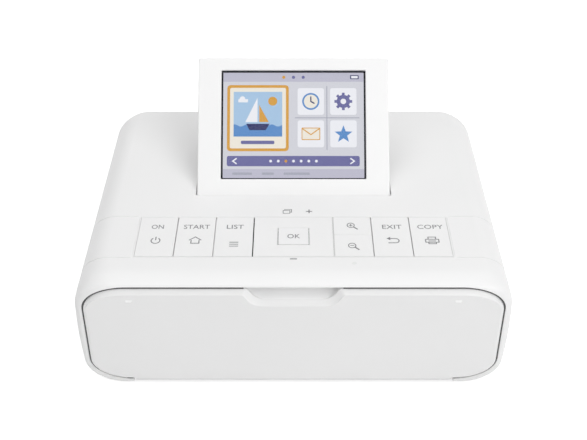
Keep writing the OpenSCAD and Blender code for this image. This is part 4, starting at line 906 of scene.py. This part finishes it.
# Circuit board: copper traces as the joints of a fine brick pattern that a noise breaks up
TRACES = pattern_group("board_traces", ["Pitch"], ["Trace", "Height"], {
    "bricks": ("TexBrick", {"offset": 0.37, "squash": 1.6, "squash_frequency": 3},
               {"Scale": 160.0, "Mortar_Size": 0.035, "Brick_Width": 1.3, "Row_Height": 0.22}),
    "breaks": ("TexNoise", {}, {"Scale": 60.0, "Detail": 2.0}),
    "keep": ("MapRange", {}, {"From_Min": 0.47, "From_Max": 0.5}),
    "both": ("Math", {"operation": "MULTIPLY"}, {})},
    "place.0>bricks.Vector place.0>breaks.Vector breaks.Fac>keep.Value bricks.Fac>both.0 "
    "keep.Result>both.1 both.0>out.Trace both.0>out.Height")
# Lit display: fine columns and rows of picture dots, and a slow noise that varies the gloss
DOTS = pattern_group("screen_dots", ["Pitch"], ["Dots", "Glow"], {
    "columns": ("TexWave", {"bands_direction": "X"}, {"Scale": 800.0}),
    "rows": ("TexWave", {"bands_direction": "Z"}, {"Scale": 1000.0}),
    "both": ("Math", {"operation": "MULTIPLY"}, {}),
    "glow": ("TexNoise", {}, {"Scale": 18.0, "Detail": 1.0})},
    "place.0>columns.Vector place.0>rows.Vector place.0>glow.Vector columns.Fac>both.0 "
    "rows.Fac>both.1 both.0>out.Dots glow.Fac>out.Glow")


def plain(name, color, roughness, **fixed):
    """Material with a Principled shader and its constant values."""
    material = bpy.data.materials.new(name)
    material.use_nodes = True
    shader = material.node_tree.nodes["Principled BSDF"]
    for label, value in dict(Base_Color=(*color, 1.0), Roughness=roughness, **fixed).items():
        shader.inputs[label.replace("_", " ")].default_value = value
    return material, shader


def patterned(name, color, roughness, group, numbers, tone, gloss, bump, target="Base Color", **fixed):
    """Material varied by a pattern group: tone is (output, low colour, high colour), gloss is (output,
    low roughness, high), and bump is (output, strength, distance in millimetres)."""
    material, shader = plain(name, color, roughness, **fixed)
    tree = material.node_tree
    parts = add(tree, "Group", {"node_tree": group}, **numbers).outputs

    def feed(factor, entry, node, outlet, target):
        tree.links.new(parts[factor], node.inputs[entry])
        tree.links.new(node.outputs[outlet], shader.inputs[target])

    if tone:
        low, high = [(*np.clip(end, 0, 1).tolist(), 1.0) for end in tone[1:]]
        feed(tone[0], "Factor", add(tree, "Mix", {"data_type": "RGBA"}, A=low, B=high), "Result", target)
    feed(gloss[0], "Value", add(tree, "MapRange", To_Min=gloss[1], To_Max=gloss[2]), "Result", "Roughness")
    if bump:
        feed(bump[0], "Height", add(tree, "Bump", Strength=bump[1], Distance=bump[2] * MM), "Normal", "Normal")
    return material


def either_side(output, color, tone):
    return output, np.array(color) * (1 - tone), np.array(color) * (1 + tone)


def moulded(name, color, roughness=0.42, tone=0.02, bump=0.04, scale=1.0, **fixed):
    """Moulded plastic: the grain's height bumps it, and the mottle shifts colour and gloss."""
    return patterned(name, color, roughness, GRAIN, {"Scale": scale}, either_side("Mottle", color, tone),
                     ("Mottle", roughness - 0.05, roughness + 0.05), ("Height", bump, 0.2), **fixed)


def drawn(name, color, roughness, stretch=(0.05, 1.0, 1.0), bump=0.1, metallic=1.0, tone=0.08):
    """Metal, or tightly wound film, with streaks along one axis and a faint cloud in its colour."""
    return patterned(name, color, roughness, DRAWN, dict(zip(("Stretch_X", "Stretch_Y", "Stretch_Z"), stretch)),
                     either_side("Cloud", color, tone), ("Height", roughness - 0.08, roughness + 0.1),
                     ("Height", bump, 0.05), Metallic=metallic)


def rubber(name, color, roughness=0.75):
    """Matt rubber with close pits and a little pale dust."""
    color = np.array(color)
    return patterned(name, color, roughness, RUBBER, {"Scale": 1.0}, ("Dust", color, color * 1.5 + 0.02),
                     ("Dust", roughness, roughness + 0.15), ("Height", 0.25, 0.06), Specular_IOR_Level=0.3)


def circuit_board(name):
    """Green solder mask, lighter where a trace runs under it."""
    return patterned(name, (0.02, 0.13, 0.06), 0.3, TRACES, {"Pitch": 1.0},
                     ("Trace", (0.015, 0.11, 0.05), (0.05, 0.26, 0.12)), ("Trace", 0.32, 0.22), ("Height", 0.2, 0.03))


def lit(name, code):
    """Part of the lit picture, of a six-digit sRGB code: its light varies with the picture dots."""
    value = np.array([int(code[k:k + 2], 16) for k in (0, 2, 4)]) / 255.0
    color = np.where(value <= 0.04045, value / 12.92, ((value + 0.055) / 1.055)**2.4)
    return patterned(name, (0.02, 0.02, 0.025), 0.4, DOTS, {"Pitch": 1.0}, ("Dots", color * 0.94, color * 1.03),
                     ("Glow", 0.35, 0.45), None, "Emission Color", Specular_IOR_Level=0.0, Emission_Strength=1.0)


def clear(name, color):
    """Clear moulding or glass, with a faint haze that varies."""
    return patterned(name, color, 0.02, GRAIN, {"Scale": 0.4}, None, ("Mottle", 0.02, 0.06), None,
                     Transmission_Weight=1.0, IOR=1.2)


def slot_materials():
    """One material for each slot of the record, by its maker and what that takes in its own order."""
    looks = {"display_lit": moulded("display_border", (0.010, 0.009, 0.018), 0.35, tone=0.1, Specular_IOR_Level=0.05),
             "window_clear": clear("window_clear", (0.97, 0.97, 0.98)), "board_green": circuit_board("board_green"),
             "foot_rubber": rubber("foot_rubber", (0.022, 0.022, 0.023)),
             "roller_rubber": rubber("roller_rubber", (0.014, 0.014, 0.015), 0.6)}
    for row in (("case_white", [0.86] * 3), ("base_white", (0.84, 0.84, 0.835), 0.46, 0.02, 0.05),
                ("rear_white", (0.85, 0.85, 0.845), 0.5, 0.02, 0.07), ("cover_white", [0.84] * 3, 0.45),
                ("bezel_white", [0.90] * 3, 0.34, 0.02, 0.02), ("tray_white", [0.88] * 3, 0.45),
                ("key_white", [0.86] * 3, 0.40, 0.02, 0.04, 1.2),
                ("ok_key_grey", (0.86, 0.86, 0.865), 0.36, 0.02, 0.04, 1.2),
                ("lamp_lens", (0.85, 0.86, 0.85), 0.18, 0.02, 0.01, 2.0),
                ("head_ceramic", (0.80, 0.78, 0.72), 0.25, 0.05), ("gear_nylon", (0.78, 0.76, 0.66), 0.38, 0.05),
                ("frame_dark", (0.062, 0.062, 0.065), 0.5, 0.15), ("lever_blue", (0.05, 0.12, 0.40), 0.4, 0.08),
                ("cassette_grey", (0.045, 0.045, 0.05), 0.48, 0.15),
                ("switch_black", (0.012, 0.012, 0.013), 0.5, 0.2),
                ("socket_black", (0.010, 0.010, 0.011), 0.45, 0.2)):
        looks[row[0]] = moulded(*row)
    for row in (("pin_steel", (0.56, 0.56, 0.58), 0.25), ("pinion_brass", (0.72, 0.55, 0.24), 0.28),
                ("sheet_steel", (0.58, 0.59, 0.60), 0.36, (1.0, 0.06, 1.0)),
                ("sink_alu", (0.72, 0.73, 0.74), 0.34, (0.06, 1.0, 1.0)),
                ("motor_can", (0.55, 0.55, 0.57), 0.33, (1.0, 0.2, 0.2)),
                ("socket_steel", (0.62, 0.62, 0.63), 0.3, (0.06, 1.0, 1.0)),
                ("spool_film", (0.05, 0.03, 0.08), 0.25, (0.02, 1.0, 1.0), 0.15, 0.0, 0.2)):
        looks[row[0]] = drawn(*row)
    return looks


# Camera, lights and floor

def set_camera():
    """Camera fitted to the photograph's view: 587 by 440 pixels, focal length 954.4 pixels."""
    data = bpy.data.cameras.new("camera")
    data.sensor_width = 36.0
    data.lens = 954.42 * 36.0 / 587.0
    data.clip_start = 0.01
    camera = raw_object("camera", data)
    camera.location = (0.0, -0.36817, 0.29869)
    camera.rotation_euler = (math.radians(90 - 34.97), 0.0, 0.0)
    bpy.context.scene.camera = camera


def area_light(name, place, aim, size, power):
    data = bpy.data.lights.new(name, "AREA")
    data.shape = "RECTANGLE"
    data.size, data.size_y = size
    data.energy = power
    lamp = raw_object(name, data)
    lamp.location = place
    way = np.array(aim) - np.array(place)
    pitch = math.atan2(math.hypot(way[0], way[1]), -way[2])
    lamp.rotation_euler = (pitch, 0.0, math.atan2(way[1], way[0]) - math.pi / 2)


def set_world(fill):
    """World that gives the fill light, and looks white to the camera and in reflections."""
    world = bpy.data.worlds.new("studio")
    bpy.context.scene.world = world
    world.use_nodes = True
    tree = world.node_tree
    back = tree.nodes["Background"]
    back.inputs["Color"].default_value = [1.0] * 4
    made = {"rays": add(tree, "LightPath"), "seen": add(tree, "Math", {"operation": "MAXIMUM"}),
            "either": add(tree, "Math", {"operation": "MAXIMUM"}),
            "level": add(tree, "MapRange", To_Min=fill, To_Max=1.0), "back": back}
    links = """rays.Is_Camera_Ray>seen.0 rays.Is_Glossy_Ray>seen.1 seen.0>either.0
               rays.Is_Transmission_Ray>either.1 either.0>level.Value level.Result>back.Strength"""
    wire(tree, made, links)


def set_floor():
    """Pale diffuse floor that also glows to the camera and in reflections, more with distance, so that
    it reads white and still takes the object's shadow."""
    corners = [[-4000, -4000, 0], [4000, -4000, 0], [4000, 4000, 0], [-4000, 4000, 0]]
    floor = raw_object("floor", make_mesh("floor", corners, [[0, 1, 2, 3]]))
    material, shader = plain("floor", [0.86] * 3, 0.9, Specular_IOR_Level=0.0, Emission_Color=[1.0] * 4)
    tree = material.node_tree
    made = {"rays": add(tree, "LightPath"), "seen": add(tree, "Math", {"operation": "MAXIMUM"}),
            "place": add(tree, "TexCoord"), "away": add(tree, "VectorMath", {"operation": "LENGTH"}),
            "glow": add(tree, "MapRange", From_Min=0.25, From_Max=1.2, To_Min=0.6, To_Max=0.92),
            "level": add(tree, "Math", {"operation": "MULTIPLY"}), "shader": shader}
    links = """rays.Is_Camera_Ray>seen.0 rays.Is_Glossy_Ray>seen.1 place.Object>away.0 away.Value>glow.Value
               glow.Result>level.0 seen.0>level.1 level.0>shader.Emission_Strength"""
    wire(tree, made, links)
    floor.data.materials.append(material)


def set_studio():
    set_world(0.37)
    area_light("left_box", (-0.75, -0.85, 0.95), (0, 0, 0.03), (0.9, 0.9), 1.7)
    area_light("right_box", (0.75, -0.85, 0.95), (0, 0, 0.03), (0.9, 0.9), 6.2)
    area_light("top_box", (0.0, 0.1, 1.3), (0, 0, 0), (1.2, 1.2), 6.9)
    area_light("front_box", (0.55, -0.9, 0.35), (0, 0, 0.03), (0.6, 0.5), 1.2)
    set_floor()
    bpy.context.scene.view_settings.view_transform = "Standard"


set_camera()
set_studio()

LOOK = slot_materials()
INK = moulded("legend_ink", (0.20, 0.20, 0.21), 0.5, tone=0.1)

# A CAD node comes with a material that is named after its slot in the record
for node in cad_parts.values():
    slot = node.data.materials[0].name.split(".")[0]
    node.data.materials.clear()
    node.data.materials.append(LOOK[slot])
    if slot in EDGED_SLOTS:
        merge = node.modifiers.new("merge", "WELD")
        merge.merge_threshold = 1e-6
        set_bevel(node, 0.12, 40)

upper_shell()
lower_shell()
ink_door()
front_cover()
finger_scoop()
cover_dashes()
gap_shade_rings()
screen_frame()
hinge_barrel()
screen_tray()
window_plate("display_border", 0.6, PICTURE_V, "display_lit", "display_module")
display_picture()
window_plate("display_glass", 1.75, 2.3, "window_clear", "display_window")
key_lips()
legends()
